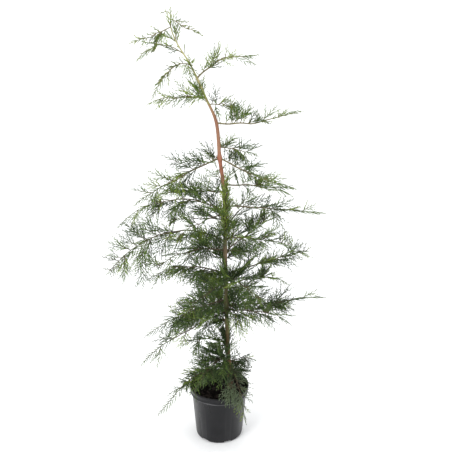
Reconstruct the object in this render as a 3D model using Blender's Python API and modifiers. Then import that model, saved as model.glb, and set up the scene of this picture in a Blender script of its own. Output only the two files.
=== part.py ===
"""A young leyland cypress in a round nursery pot.

Metres, +Z up. The origin is the centre of the pot's flat underside, and the plant's best side faces -Y.
The trunk rises off the pot's centre and nods over to -X at its top. Boughs leave it all the way round,
and each carries flat, feathery sprays of foliage.
"""

import math
import random
from typing import NamedTuple

import bmesh
import bpy
from mathutils import Vector
from mathutils.bvhtree import BVHTree

# Driving dimensions of the pot
POT_HEIGHT = 0.174
RIM_RADIUS = 0.095
RIM_WALL = 0.0028
BASE_RADIUS = 0.0755
COLLAR_DEPTH = 0.0215
COLLAR_STEP = 0.0045
COLLAR_LEAN = 0.0040
RIDGE = 0.0010
POT_WALL = 0.0018
FLOOR = 0.0026
BASE_CORNER = 0.005
CORNER_STEPS = 3
NOTCHES = 6
NOTCH_WIDTH = 0.026
NOTCH_HEIGHT = 0.008
NOTCH_DEPTH = 0.022
FIRST_NOTCH = -68.0
POT_STEPS = 36

# Driving dimensions of the soil and of the gap kept between pieces that touch
SOIL_LEVEL = 0.160
CLEARANCE = 0.0003

# The trunk's centre line: height, x, y, diameter. Its foot flares out to the soil.
TRUNK_COURSE = (
    (0.1603, 0.0345, 0.000, 0.0220),
    (0.1680, 0.0345, 0.000, 0.0180),
    (0.1950, 0.0340, 0.000, 0.0142),
    (0.3500, 0.0262, 0.003, 0.0130),
    (0.6000, 0.0200, -0.002, 0.0120),
    (0.8200, 0.0160, 0.002, 0.0110),
    (0.9150, 0.0040, 0.002, 0.0106),
    (1.0230, -0.0060, 0.000, 0.0096),
    (1.0900, -0.0340, -0.004, 0.0074),
    (1.1810, -0.0750, -0.008, 0.0054),
    (1.2400, -0.1110, -0.010, 0.0042),
    (1.2820, -0.1270, -0.010, 0.0032),
    (1.3140, -0.1260, -0.008, 0.0022),
)
TRUNK_RINGS = 26
TRUNK_SIDES = 8
# Heights where the trunk swells round the joint of a pair of boughs, and how much
TRUNK_KNOTS = ((0.918, 0.0020), (0.560, 0.0012), (0.452, 0.0012))
KNOT_LENGTH = 0.010

# Driving dimensions of boughs, twigs and sprays
BOUGH_DIAMETER = 0.0066
BOUGH_TAPER = 0.62
BOUGH_POINTS = 6
BOUGH_SIDES = 6
STEM_HALF = 0.0019
STEM_PITCH = 0.027
TWIG_FLATNESS = 0.75
TWIG_SHARE = 0.72
TIP_SHARE = 0.4
FULL_SPREAD = 0.080
SPRAY_AT_FOOT = 1.15
SPRAY_LOSS = 0.70
FIRST_SPRAY = 0.3
TOOTH_PITCH = 0.0225
TOOTH_LENGTH = 0.046
TOOTH_AT_FOOT = 1.10
TOOTH_LOSS = 0.65
TOOTH_ANGLE = math.radians(40)
FORK_ANGLE = math.radians(46)
SWEEP = 0.10
CURL_UP = (-0.02, 0.10)
CURL_DOWN = (-0.28, -0.12)
SEED = 20


class Limb(NamedTuple):
    """A bough with the foliage it carries, or foliage that springs straight from the trunk."""

    name: str
    height: float  # where it leaves the trunk
    azimuth: float  # degrees from +X towards +Y
    reach: float  # level distance from the trunk to its tip
    rise: float  # how far its tip lies above where it starts
    arch: float  # how far its middle stands above the straight line
    bare: float  # share of its length that is a bough with no foliage
    sprays: int  # side sprays
    spread: float  # length of a side spray
    lift: float  # degrees that the side sprays stand up out of the flat


# From the soil up to the leader's tip
LIMBS = (
    Limb("01_front_right", 0.225, -66, 0.131, -0.125, 0.046, 0.00, 4, 0.050, -15),
    Limb("02_left_front", 0.239, 215, 0.265, -0.083, 0.045, 0.00, 4, 0.085, -10),
    Limb("03_front_left", 0.268, 236, 0.190, -0.031, 0.030, 0.00, 5, 0.075, 15),
    Limb("04_left_back", 0.314, 150, 0.175, -0.050, 0.022, 0.00, 5, 0.075, 20),
    Limb("05_right", 0.253, 12, 0.095, -0.010, 0.015, 0.00, 3, 0.050, 20),
    Limb("06_back", 0.240, 112, 0.160, 0.000, 0.020, 0.00, 3, 0.070, 20),
    Limb("07_back_right", 0.212, 58, 0.130, 0.005, 0.015, 0.00, 3, 0.055, 20),
    Limb("08_left", 0.470, 198, 0.262, -0.088, 0.018, 0.00, 5, 0.085, -5),
    Limb("09_front_left", 0.429, 222, 0.330, -0.064, 0.021, 0.18, 5, 0.090, -5),
    Limb("10_right", 0.449, -4, 0.307, 0.038, 0.000, 0.16, 5, 0.085, 15),
    Limb("11_front_right", 0.438, -38, 0.255, 0.056, 0.000, 0.00, 5, 0.085, -40),
    Limb("12_back_left", 0.395, 136, 0.225, 0.010, 0.020, 0.00, 4, 0.080, 25),
    Limb("13_back_right", 0.420, 66, 0.235, 0.010, 0.020, 0.00, 4, 0.085, 10),
    Limb("14_right_back", 0.510, 36, 0.260, -0.060, 0.035, 0.00, 5, 0.080, 15),
    Limb("15_right", 0.556, 10, 0.263, 0.058, 0.006, 0.16, 5, 0.085, 25),
    Limb("16_left", 0.556, 170, 0.256, -0.042, 0.036, 0.16, 5, 0.085, -20),
    Limb("17_front_right", 0.535, -58, 0.210, 0.010, 0.015, 0.00, 4, 0.085, 10),
    Limb("18_front_left", 0.515, 240, 0.215, -0.005, 0.020, 0.00, 5, 0.085, 35),
    Limb("19_back", 0.585, 96, 0.240, 0.030, 0.020, 0.00, 4, 0.085, 15),
    Limb("20_right_back", 0.628, 32, 0.185, 0.098, 0.006, 0.00, 4, 0.080, 15),
    Limb("21_left_front", 0.632, 212, 0.235, -0.012, 0.030, 0.20, 5, 0.085, -5),
    Limb("22_left", 0.662, 190, 0.358, -0.083, 0.080, 0.22, 7, 0.115, -35),
    Limb("23_right_front", 0.672, -34, 0.230, 0.020, 0.012, 0.00, 4, 0.080, 20),
    Limb("24_front", 0.650, -84, 0.046, 0.220, 0.000, 0.00, 5, 0.040, 0),
    Limb("25_back_right", 0.700, 62, 0.205, 0.045, 0.015, 0.00, 4, 0.080, 20),
    Limb("26_left_back", 0.733, 146, 0.225, -0.050, 0.004, 0.00, 4, 0.085, 40),
    Limb("27_left", 0.755, 178, 0.325, -0.055, 0.062, 0.00, 7, 0.100, -28),
    Limb("28_right", 0.773, -9, 0.298, -0.008, 0.004, 0.16, 5, 0.080, 25),
    Limb("29_front_left", 0.745, 228, 0.200, -0.020, 0.015, 0.00, 5, 0.080, 45),
    Limb("30_back", 0.800, 98, 0.180, 0.035, 0.015, 0.00, 4, 0.080, 20),
    Limb("31_left_back", 0.815, 156, 0.215, -0.030, 0.006, 0.00, 5, 0.080, 30),
    Limb("32_right_back", 0.838, 22, 0.240, -0.040, 0.002, 0.20, 4, 0.075, 20),
    Limb("33_left", 0.918, 203, 0.262, -0.114, 0.010, 0.14, 6, 0.085, 58),
    Limb("34_right_front", 0.918, -28, 0.242, -0.062, -0.008, 0.20, 4, 0.080, 20),
    Limb("35_right_back", 0.950, 38, 0.150, -0.050, 0.006, 0.00, 4, 0.078, 30),
    Limb("36_right", 1.020, -12, 0.246, 0.043, -0.014, 0.14, 4, 0.078, 40),
    Limb("37_back_right", 1.073, 48, 0.105, -0.020, 0.005, 0.00, 3, 0.060, 50),
    Limb("38_left_back", 1.090, 164, 0.180, -0.027, 0.013, 0.00, 4, 0.065, 40),
    Limb("39_right_back", 1.146, 34, 0.205, 0.022, 0.040, 0.14, 4, 0.070, 5),
    Limb("40_left_front", 1.181, 216, 0.128, -0.084, 0.036, 0.00, 3, 0.045, -15),
    Limb("41_left_back", 1.211, 151, 0.162, -0.028, 0.034, 0.00, 4, 0.055, 0),
    Limb("42_left_front", 1.283, 200, 0.116, -0.040, -0.004, 0.00, 3, 0.052, -15),
    Limb("43_right_front", 1.304, -24, 0.098, -0.043, -0.002, 0.00, 2, 0.034, 10),
    Limb("44_tip", 1.3139, 172, 0.030, 0.003, 0.007, 0.00, 0, 0.020, 0),
)
UP = Vector((0, 0, 1))


def clear_scene():
    for obj in list(bpy.data.objects):
        bpy.data.objects.remove(obj, do_unlink=True)


def new_collection(name):
    made = bpy.data.collections.new(name)
    bpy.context.scene.collection.children.link(made)
    return made


def finish(name, colour, roughness, metallic=0.0):
    """A plain Principled finish in the piece's colour."""
    made = bpy.data.materials.new(name)
    made.use_nodes = True
    shader = made.node_tree.nodes["Principled BSDF"]
    shader.inputs["Base Color"].default_value = (*colour, 1.0)
    shader.inputs["Roughness"].default_value = roughness
    shader.inputs["Metallic"].default_value = metallic
    return made


def add_object(name, data, collection, material):
    made = bpy.data.objects.new(name, data)
    data.materials.append(material)
    collection.objects.link(made)
    return made


def evaluated_mesh(obj):
    """The object's mesh with its modifiers, or a curve's surface, in its own frame."""
    bpy.context.view_layer.update()
    graph = bpy.context.evaluated_depsgraph_get()
    return bpy.data.meshes.new_from_object(obj.evaluated_get(graph))


# The pot and the soil


def pot_inside():
    """Radius and height down the pot's inner wall, from the rim to the middle of the floor."""
    collar_foot = POT_HEIGHT - COLLAR_DEPTH
    return (
        (RIM_RADIUS - RIM_WALL, POT_HEIGHT),
        (RIM_RADIUS - COLLAR_LEAN - POT_WALL, collar_foot + COLLAR_LEAN),
        (RIM_RADIUS - COLLAR_LEAN - COLLAR_STEP - POT_WALL, collar_foot - POT_WALL),
        (BASE_RADIUS - POT_WALL, FLOOR + BASE_CORNER),
        (BASE_RADIUS - POT_WALL - BASE_CORNER, FLOOR),
        (0.0, FLOOR),
    )


def pot_outside():
    """Radius and height down the outer wall: rim lip, collar, its ridge, tapering body, rounded foot."""
    collar_foot = POT_HEIGHT - COLLAR_DEPTH
    waist = RIM_RADIUS - COLLAR_LEAN
    profile = [
        (RIM_RADIUS - RIDGE, POT_HEIGHT),
        (RIM_RADIUS, POT_HEIGHT - RIDGE),
        (RIM_RADIUS, POT_HEIGHT - 4 * RIDGE),
        (RIM_RADIUS - 2 * RIDGE, POT_HEIGHT - 5 * RIDGE),
        (waist, collar_foot + 3 * RIDGE),
        (waist + RIDGE, collar_foot + RIDGE),
        (waist + RIDGE, collar_foot),
        (waist + RIDGE - COLLAR_STEP, collar_foot - 2 * RIDGE),
    ]
    for step in range(CORNER_STEPS + 1):
        turn = math.pi / 2 * step / CORNER_STEPS
        inset = BASE_CORNER * (1 - math.cos(turn))
        profile.append((BASE_RADIUS - inset, BASE_CORNER * (1 - math.sin(turn))))
    return profile + [(0.0, 0.0)]


def turned(name, profile, steps, collection, material):
    """A closed turned shape from a profile that runs down its outer side."""
    mesh = bpy.data.meshes.new(name)
    points = [(radius, 0.0, height) for radius, height in profile]
    mesh.from_pydata(points, [(i, i + 1) for i in range(len(points) - 1)], [])
    made = add_object(name, mesh, collection, material)
    screw = made.modifiers.new("turn", "SCREW")
    screw.axis = "Z"
    screw.steps = steps
    screw.render_steps = steps
    screw.use_merge_vertices = True
    screw.merge_threshold = 0.00005
    screw.use_smooth_shade = True
    return made


def add_pot(collection, cutters, material):
    """The pot is moulded in one piece: thin wall, stepped collar and drain notches round its foot."""
    profile = list(reversed(pot_inside())) + pot_outside()
    pot = turned("pot", profile, POT_STEPS, collection, material)
    for index in range(NOTCHES):
        turn = math.radians(FIRST_NOTCH + 360 * index / NOTCHES)
        mesh = bpy.data.meshes.new(f"foot_notch_{index}")
        cage = bmesh.new()
        bmesh.ops.create_cube(cage, size=1.0)
        bmesh.ops.scale(cage, vec=(NOTCH_DEPTH, NOTCH_WIDTH, 2 * NOTCH_HEIGHT), verts=cage.verts)
        cage.to_mesh(mesh)
        cage.free()
        cutter = bpy.data.objects.new(mesh.name, mesh)
        cutter.location = (BASE_RADIUS * math.cos(turn), BASE_RADIUS * math.sin(turn), 0)
        cutter.rotation_euler = (0, 0, turn)
        cutter.hide_render = True
        cutter.display_type = "WIRE"
        cutters.objects.link(cutter)
    cut = pot.modifiers.new("foot notches", "BOOLEAN")
    cut.operation = "DIFFERENCE"
    cut.operand_type = "COLLECTION"
    cut.collection = cutters
    return pot


def add_soil(collection, material):
    """Compost fills the pot to just under its collar, a clearance inside the faceted wall."""
    facet = math.cos(math.pi / POT_STEPS)
    wall = pot_inside()
    top, under = wall[0], wall[1]
    share = (SOIL_LEVEL - under[1]) / (top[1] - under[1])
    edge = under[0] + share * (top[0] - under[0])
    profile = [(0.0, SOIL_LEVEL), (edge * facet - CLEARANCE, SOIL_LEVEL)]
    for radius, height in wall[1:]:
        profile.append((max(radius * facet - CLEARANCE, 0.0), height + CLEARANCE))
    return turned("soil", profile, POT_STEPS, collection, material)


# The trunk and the boughs


def along(rows, height):
    """The row at this height, on a smooth curve through the rows."""
    height = min(max(height, rows[0][0]), rows[-1][0])
    index = max(i for i in range(len(rows) - 1) if rows[i][0] <= height)
    low, high = rows[index], rows[index + 1]
    before, after = rows[max(index - 1, 0)], rows[min(index + 2, len(rows) - 1)]
    span = high[0] - low[0]
    share = (height - low[0]) / span
    found = []
    for column in range(1, len(low)):
        slope_low = (high[column] - before[column]) / (high[0] - before[0])
        slope_high = (after[column] - low[column]) / (after[0] - low[0])
        if before is low:
            slope_low = (high[column] - low[column]) / span
        found.append(
            low[column] * (1 + 2 * share) * (1 - share) ** 2
            + high[column] * share**2 * (3 - 2 * share)
            + span * slope_low * share * (1 - share) ** 2
            + span * slope_high * share**2 * (share - 1)
        )
    return found


def trunk_place(height):
    """Centre and radius of the trunk at this height, with its knots."""
    x, y, diameter = along(TRUNK_COURSE, height)
    swelling = sum(
        size * math.exp(-(((height - knot) / KNOT_LENGTH) ** 2)) for knot, size in TRUNK_KNOTS
    )
    return Vector((x, y, height)), diameter / 2 + swelling


def trunk_rings():
    """Heights of the trunk's rings: close together at the flare and the knots, even elsewhere."""
    foot, top = TRUNK_COURSE[0][0], TRUNK_COURSE[-1][0]
    heights = {foot, TRUNK_COURSE[1][0], 0.180}
    for knot, _ in TRUNK_KNOTS:
        heights |= {knot - KNOT_LENGTH, knot, knot + KNOT_LENGTH}
    start = TRUNK_COURSE[2][0]
    for index in range(TRUNK_RINGS):
        height = start + (top - start) * index / (TRUNK_RINGS - 1)
        if min(abs(height - other) for other in heights) > KNOT_LENGTH / 2:
            heights.add(height)
    return sorted(heights)


def tube(name, places, sides, collection, material):
    """A tapering limb through (centre, radius) places, with flat ends."""
    data = bpy.data.curves.new(name, "CURVE")
    data.dimensions = "3D"
    data.bevel_depth = 1.0
    data.bevel_resolution = sides // 2 - 2
    data.use_fill_caps = True
    spline = data.splines.new("POLY")
    spline.points.add(len(places) - 1)
    for point, (centre, radius) in zip(spline.points, places):
        point.co = (*centre, 1.0)
        point.radius = radius
    spline.use_smooth = True
    return add_object(name, data, collection, material)


def limb_point(limb, share):
    """A point on the limb's course: out from the trunk's middle, rising or falling, and arched."""
    turn = math.radians(limb.azimuth)
    start, _ = trunk_place(limb.height)
    outward = Vector((math.cos(turn), math.sin(turn), 0))
    height = limb.rise * share + limb.arch * 4 * share * (1 - share)
    return start + outward * (limb.reach * share) + UP * height


def limb_tangent(limb, share):
    step = 0.01
    return (limb_point(limb, share + step) - limb_point(limb, share - step)).normalized()


def first_share(limb, half, over_half, trunk_tree):
    """Share of the course where a limb of this width and thickness clears the trunk's skin."""
    share = 0.0
    while share < 1.0:
        centre = limb_point(limb, share)
        tangent = limb_tangent(limb, share)
        side = tangent.cross(UP).normalized()
        over = side.cross(tangent)
        gaps = []
        for across, up in RIM:
            gaps.append(signed_gap(centre + side * (half * across) + over * (over_half * up), trunk_tree))
        if min(gaps) >= CLEARANCE:
            return share
        share += CLEARANCE / 4 / (limb.reach + abs(limb.rise))
    raise ValueError(limb.name)


# Corners and middles of the sides of a limb's end face, as shares of its half width and half thickness
RIM = [(across, up) for across in (-1, 0, 1) for up in (-1, 0, 1)]


def signed_gap(point, tree):
    """Distance from a point to a closed skin, negative inside it."""
    nearest, normal, _, distance = tree.find_nearest(point)
    return distance if (point - nearest).dot(normal) > 0 else -distance


def skin(obj):
    """The points and faces of an object with its modifiers."""
    mesh = evaluated_mesh(obj)
    points = [vert.co.copy() for vert in mesh.vertices]
    faces = [tuple(face.vertices) for face in mesh.polygons]
    bpy.data.meshes.remove(mesh)
    return points, faces


def add_bough(limb, trunk_tree, collection, material):
    """The bare part of a limb: one tapering tube. It ends a clearance short of its foliage's stem."""
    start = first_share(limb, BOUGH_DIAMETER / 2, BOUGH_DIAMETER / 2, trunk_tree)
    end = limb.bare - CLEARANCE / (limb_point(limb, 1.0) - limb_point(limb, 0.0)).length
    places = []
    for index in range(BOUGH_POINTS):
        share = index / (BOUGH_POINTS - 1)
        radius = BOUGH_DIAMETER / 2 * (1 + (BOUGH_TAPER - 1) * share)
        places.append((limb_point(limb, start + (end - start) * share), radius))
    return tube(f"bough_{limb.name}", places, BOUGH_SIDES, collection, material)


# The foliage


class Piece:
    """A closed shape of bare vertices and faces, before it is fused into its mass."""

    def __init__(self):
        self.points = []
        self.faces = []

    def add(self, *points):
        first = len(self.points)
        self.points.extend(points)
        return range(first, first + len(points))

    def tree(self, gap=0.0):
        return BVHTree.FromPolygons(self.points, self.faces, epsilon=gap)

    def mesh(self, name):
        made = bpy.data.meshes.new(name)
        made.from_pydata(self.points, [], self.faces)
        cage = bmesh.new()
        cage.from_mesh(made)
        bmesh.ops.recalc_face_normals(cage, faces=cage.faces)
        cage.to_mesh(made)
        cage.free()
        return made


def tooth_piece(base, apex):
    piece = Piece()
    corners = piece.add(*base)
    top = piece.add(apex)[0]
    piece.faces = [(corners[i], corners[(i + 1) % 4], top) for i in range(4)]
    return piece


def toothed_blade(course, tilt, root_half, teeth, tooth_length, free, rng):
    """A flat spray: a four-sided twig along the course with a pointed tooth on each side of every step.

    course is a list of points, tilt the direction that the teeth of one side lean to, teeth the first step
    that carries them. A tooth that free() refuses is left off.
    """
    piece = Piece()
    count = len(course) - 1
    rings = []
    for index, centre in enumerate(course[:-1]):
        ahead = course[index + 1] - centre
        if index:
            ahead = course[index + 1] - course[index - 1]
        ahead.normalize()
        side = (tilt - ahead * tilt.dot(ahead)).normalized()
        over = side.cross(ahead)
        half = root_half * (1 - (1 - TIP_SHARE) * index / count)
        thick = half * TWIG_FLATNESS
        rings.append(
            (
                piece.add(
                    centre + side * half + over * thick,
                    centre + side * half - over * thick,
                    centre - side * half - over * thick,
                    centre - side * half + over * thick,
                ),
                ahead,
                side,
                over,
            )
        )
    piece.faces.append(tuple(rings[0][0]))
    for index in range(count - 1):
        ring, ahead, side, over = rings[index]
        beyond = rings[index + 1][0]
        for edge in range(4):
            base = (ring[edge], ring[(edge + 1) % 4], beyond[(edge + 1) % 4], beyond[edge])
            if edge % 2 or index < teeth:
                piece.faces.append(base)
                continue
            hand = 1 if edge == 0 else -1
            share = index / count
            length = tooth_length * (TOOTH_AT_FOOT - TOOTH_LOSS * share) * rng.uniform(0.8, 1.12)
            lean = TOOTH_ANGLE + rng.uniform(-0.08, 0.08)
            toward = ahead * math.cos(lean) + side * (hand * math.sin(lean)) + over * rng.uniform(-0.1, 0.1)
            corners = [piece.points[corner] for corner in base]
            middle = sum(corners, Vector()) / 4
            apex = middle + toward * length
            if not free(tooth_piece(corners, apex)):
                piece.faces.append(base)
                continue
            top = piece.add(apex)[0]
            piece.faces.extend((base[i], base[(i + 1) % 4], top) for i in range(4))
    last = rings[-1][0]
    point = piece.add(course[-1])[0]
    piece.faces.extend((last[i], last[(i + 1) % 4], point) for i in range(4))
    return piece


class Foliage:
    """One mass: its stem, the sprays fused on to it, and the trees that test them against all the rest."""

    def __init__(self, limb, number, trunk_tree):
        self.limb = limb
        self.rng = random.Random(SEED + number)
        self.half = STEM_HALF * min(1.0, 0.4 + 0.6 * limb.spread / FULL_SPREAD)
        if limb.bare:
            self.half = BOUGH_DIAMETER / 2 * BOUGH_TAPER * 0.8
        self.start = limb.bare or first_share(limb, self.half, self.half * TWIG_FLATNESS, trunk_tree)
        self.pieces = []

    def place(self, share):
        return limb_point(self.limb, self.start + (1 - self.start) * share)

    def tangent(self, share):
        return limb_tangent(self.limb, self.start + (1 - self.start) * share)

    def length(self):
        return (self.place(1.0) - self.place(0.0)).length

    def spine(self):
        """The bare stem, which every other mass keeps clear of."""
        return self.stem(lambda tooth: False)

    def stem(self, free):
        steps = max(3, round(self.length() / STEM_PITCH))
        course = [self.place(index / steps) for index in range(steps + 1)]
        side = self.tangent(0.5).cross(UP).normalized()
        teeth = 1 if self.limb.sprays < 1 else steps // 2
        reach = self.limb.spread * 0.5
        rng = random.Random(SEED)
        return toothed_blade(course, side, self.half, teeth, reach, free, rng)

    def side_spray(self, index, free):
        """A side spray leaves the stem at a fork angle, to the left and right in turn, and curves forward."""
        limb, rng = self.limb, self.rng
        share = (index + FIRST_SPRAY) / (limb.sprays + 1)
        root, ahead = self.place(share), self.tangent(share)
        side = ahead.cross(UP).normalized() * (1 if index % 2 else -1)
        over = side.cross(ahead) * (1 if index % 2 else -1)
        lift = math.radians(limb.lift + rng.uniform(-14, 14))
        fork = FORK_ANGLE + rng.uniform(-0.12, 0.12)
        outward = side * math.cos(lift) + over * math.sin(lift)
        toward = ahead * math.cos(fork) + outward * math.sin(fork)
        length = limb.spread * (SPRAY_AT_FOOT - SPRAY_LOSS * share) * rng.uniform(0.9, 1.1)
        curl = rng.uniform(*(CURL_UP if limb.lift >= 0 else CURL_DOWN))
        steps = max(3, round(length / TOOTH_PITCH))
        course = []
        for step in range(steps + 1):
            part = step / steps
            bend = (ahead * SWEEP + UP * curl) * part**2
            course.append(root + (toward * part + bend) * length)
        half = self.half * (1 - (1 - TIP_SHARE) * share) * TWIG_SHARE
        roll = ahead + over * rng.uniform(-0.35, 0.35)
        return toothed_blade(course, roll, half, 0, TOOTH_LENGTH * length / FULL_SPREAD, free, rng)


def grow(masses, limb_trees):
    """Every mass's sprays in turn. A spray or a tooth that would touch a limb or another mass is left off."""
    spines = [mass.spine().tree(CLEARANCE) for mass in masses]
    grown = [[] for _ in masses]

    def room_for(number):
        def free(piece):
            tree = piece.tree(CLEARANCE)
            if any(tree.overlap(other) for other in limb_trees):
                return False
            for other in range(len(masses)):
                if other == number:
                    continue
                if tree.overlap(spines[other]) or any(tree.overlap(part) for part in grown[other]):
                    return False
            return True

        return free

    for number, mass in enumerate(masses):
        free = room_for(number)
        stem = mass.stem(free)
        mass.pieces.append(stem)
        grown[number].append(stem.tree(CLEARANCE))
    most = max(mass.limb.sprays for mass in masses)
    for index in range(most):
        for number, mass in enumerate(masses):
            if index >= mass.limb.sprays:
                continue
            free = room_for(number)
            spray = mass.side_spray(index, free)
            if free(spray):
                mass.pieces.append(spray)
                grown[number].append(spray.tree(CLEARANCE))


def add_mass(mass, collection, material):
    """The stem with its sprays fused on, as one closed body."""
    name = f"mass_{mass.limb.name}"
    body = add_object(name, mass.pieces[0].mesh(name), collection, material)
    sprays = new_collection(f"{name}_sprays")
    for index, piece in enumerate(mass.pieces[1:]):
        mesh = piece.mesh(f"{name}_spray_{index}")
        sprays.objects.link(bpy.data.objects.new(mesh.name, mesh))
    if sprays.objects:
        fuse = body.modifiers.new("fuse", "BOOLEAN")
        fuse.operation = "UNION"
        fuse.operand_type = "COLLECTION"
        fuse.collection = sprays
        fused = evaluated_mesh(body)
        body.modifiers.clear()
        body.data = fused
        fused.name = name
    for obj in list(sprays.objects):
        bpy.data.objects.remove(obj, do_unlink=True)
    bpy.data.collections.remove(sprays)
    drop_scraps(body.data)
    return body


def drop_scraps(mesh):
    """Keeps the largest connected body of the mesh."""
    cage = bmesh.new()
    cage.from_mesh(mesh)
    unseen = set(cage.verts)
    bodies = []
    while unseen:
        found, edge = set(), {unseen.pop()}
        while edge:
            vert = edge.pop()
            found.add(vert)
            linked = {link.other_vert(vert) for link in vert.link_edges}
            edge |= linked & unseen
            unseen -= linked
        bodies.append(found)
    bodies.sort(key=len)
    scraps = [vert for body in bodies[:-1] for vert in body]
    bmesh.ops.delete(cage, geom=scraps, context="VERTS")
    cage.to_mesh(mesh)
    cage.free()


def main():
    clear_scene()
    plant = new_collection("leyland_cypress")
    cutters = new_collection("cutters")
    plastic = finish("pot_plastic", (0.040, 0.041, 0.046), 0.42)
    compost = finish("compost", (0.018, 0.013, 0.009), 0.95)
    bark = finish("bark", (0.175, 0.070, 0.034), 0.80)
    green = finish("foliage", (0.045, 0.090, 0.026), 0.60)

    pot = add_pot(plant, cutters, plastic)
    soil = add_soil(plant, compost)
    trunk = tube("trunk", [trunk_place(height) for height in trunk_rings()], TRUNK_SIDES, plant, bark)
    trunk_tree = BVHTree.FromPolygons(*skin(trunk))
    boughs = [add_bough(limb, trunk_tree, plant, bark) for limb in LIMBS if limb.bare]

    limb_trees = []
    for obj in [pot, soil, trunk] + boughs:
        limb_trees.append(BVHTree.FromPolygons(*skin(obj), epsilon=CLEARANCE))
    masses = [Foliage(limb, number, trunk_tree) for number, limb in enumerate(LIMBS)]
    grow(masses, limb_trees)
    for mass in masses:
        add_mass(mass, plant, green)


main()
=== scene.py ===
"""The looks of a young leyland cypress in its nursery pot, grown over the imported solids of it.

Metres, +Z up, the origin at the centre of the pot's underside. The plant's best side faces -Y.
"""

import math
import random
from typing import NamedTuple

import bpy
import numpy as np
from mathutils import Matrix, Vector, noise


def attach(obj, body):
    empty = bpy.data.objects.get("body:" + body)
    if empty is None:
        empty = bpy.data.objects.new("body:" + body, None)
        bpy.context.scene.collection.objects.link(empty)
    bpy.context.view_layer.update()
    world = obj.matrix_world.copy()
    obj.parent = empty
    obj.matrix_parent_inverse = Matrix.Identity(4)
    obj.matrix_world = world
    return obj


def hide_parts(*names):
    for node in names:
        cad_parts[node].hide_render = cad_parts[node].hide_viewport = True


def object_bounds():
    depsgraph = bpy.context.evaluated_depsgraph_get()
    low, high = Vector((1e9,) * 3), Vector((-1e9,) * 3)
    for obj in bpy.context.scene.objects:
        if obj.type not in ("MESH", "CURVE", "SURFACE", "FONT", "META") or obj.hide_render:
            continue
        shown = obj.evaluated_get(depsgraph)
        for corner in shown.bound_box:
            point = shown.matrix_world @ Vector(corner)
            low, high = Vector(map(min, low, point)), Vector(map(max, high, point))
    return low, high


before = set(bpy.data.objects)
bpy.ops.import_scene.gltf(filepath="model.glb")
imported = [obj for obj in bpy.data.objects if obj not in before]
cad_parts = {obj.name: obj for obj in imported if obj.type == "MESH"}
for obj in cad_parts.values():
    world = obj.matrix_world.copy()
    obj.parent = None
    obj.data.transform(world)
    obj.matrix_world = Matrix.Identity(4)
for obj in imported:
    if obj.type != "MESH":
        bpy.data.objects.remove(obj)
solid_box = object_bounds()


# The pot. One thin-walled moulding in recycled black polypropylene: a leaning collar with a ridge
# at its foot to lift and stack it by, a tapering wall, a rounded foot and drain notches. It stands
# by its own weight.

POT_HEIGHT = 0.174
RIM_RADIUS = 0.095
RIM_WALL = 0.0028
BASE_RADIUS = 0.0755
COLLAR_FOOT = 0.1525
COLLAR_LEAN = 0.0040
COLLAR_STEP = 0.0045
RIDGE = 0.0010
BEAD = 0.0020
POT_WALL = 0.0018
POT_FLOOR = 0.0026
BASE_CORNER = 0.008
CORNER_STEPS = 4
POT_SIDES = 120
NOTCHES = 6
NOTCH_SIZE = (0.022, 0.026, 0.016)
NOTCH_ROUND = 0.003
FIRST_NOTCH = -68.0
POT_EDGE = 0.0005
EDGE_ANGLE = math.radians(28)
SMOOTH_ANGLE = math.radians(40)
POT_BLACK = (0.0060, 0.0060, 0.0072)
POT_DUST = (0.026, 0.026, 0.028)
# The pale grey painted on the ridge's bead as a highlight
POT_BEAD_HIGHLIGHT = (0.120, 0.120, 0.126)
STREAK_SCALE = (60, 60, 3)
# How high watering splashes the wall, and how much dust comes from clouds, splashes and streaks
SPLASH_HEIGHT = 0.05
CLOUD_DUST = 0.35
SPLASH_DUST = 0.6
STREAK_DUST = 0.25
# How strongly the painted highlight shows on the ridge's bead, how rough the plastic is and how
# much streaks and dust add to that, and the shares of streaks and pores in its relief
BEAD_HIGHLIGHT_SHARE = 0.8
POT_GLOSS = 0.24
STREAK_MATT = 0.12
DUST_MATT = 0.22
STREAK_RELIEF = 0.5
PORE_RELIEF = 0.3


class Value:
    """A socket in a finish that Python arithmetic works on: each operator adds a Math node."""

    def __init__(self, finish, socket):
        self.finish = finish
        self.socket = socket

    def math(self, operation, *terms, clamp=False):
        settings = {"operation": operation, "use_clamp": clamp}
        return self.finish.node("ShaderNodeMath", settings, dict(enumerate(terms)))

    def __add__(self, other):
        return self.math("ADD", self, other)

    def __sub__(self, other):
        return self.math("SUBTRACT", self, other)

    def __rsub__(self, other):
        return self.math("SUBTRACT", other, self)

    def __mul__(self, other):
        return self.math("MULTIPLY", self, other)

    def __truediv__(self, other):
        return self.math("DIVIDE", self, other)

    __radd__ = __add__

    def held(self):
        """The value kept between 0 and 1."""
        return self.math("ADD", self, 0.0, clamp=True)

    def above(self, level, gain):
        """How far the value stands above a level, kept between 0 and 1."""
        return ((self - level) * gain).held()

    def below(self, level, gain):
        """How far it stands below a level, kept between 0 and 1."""
        return ((level - self) * gain).held()


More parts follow.
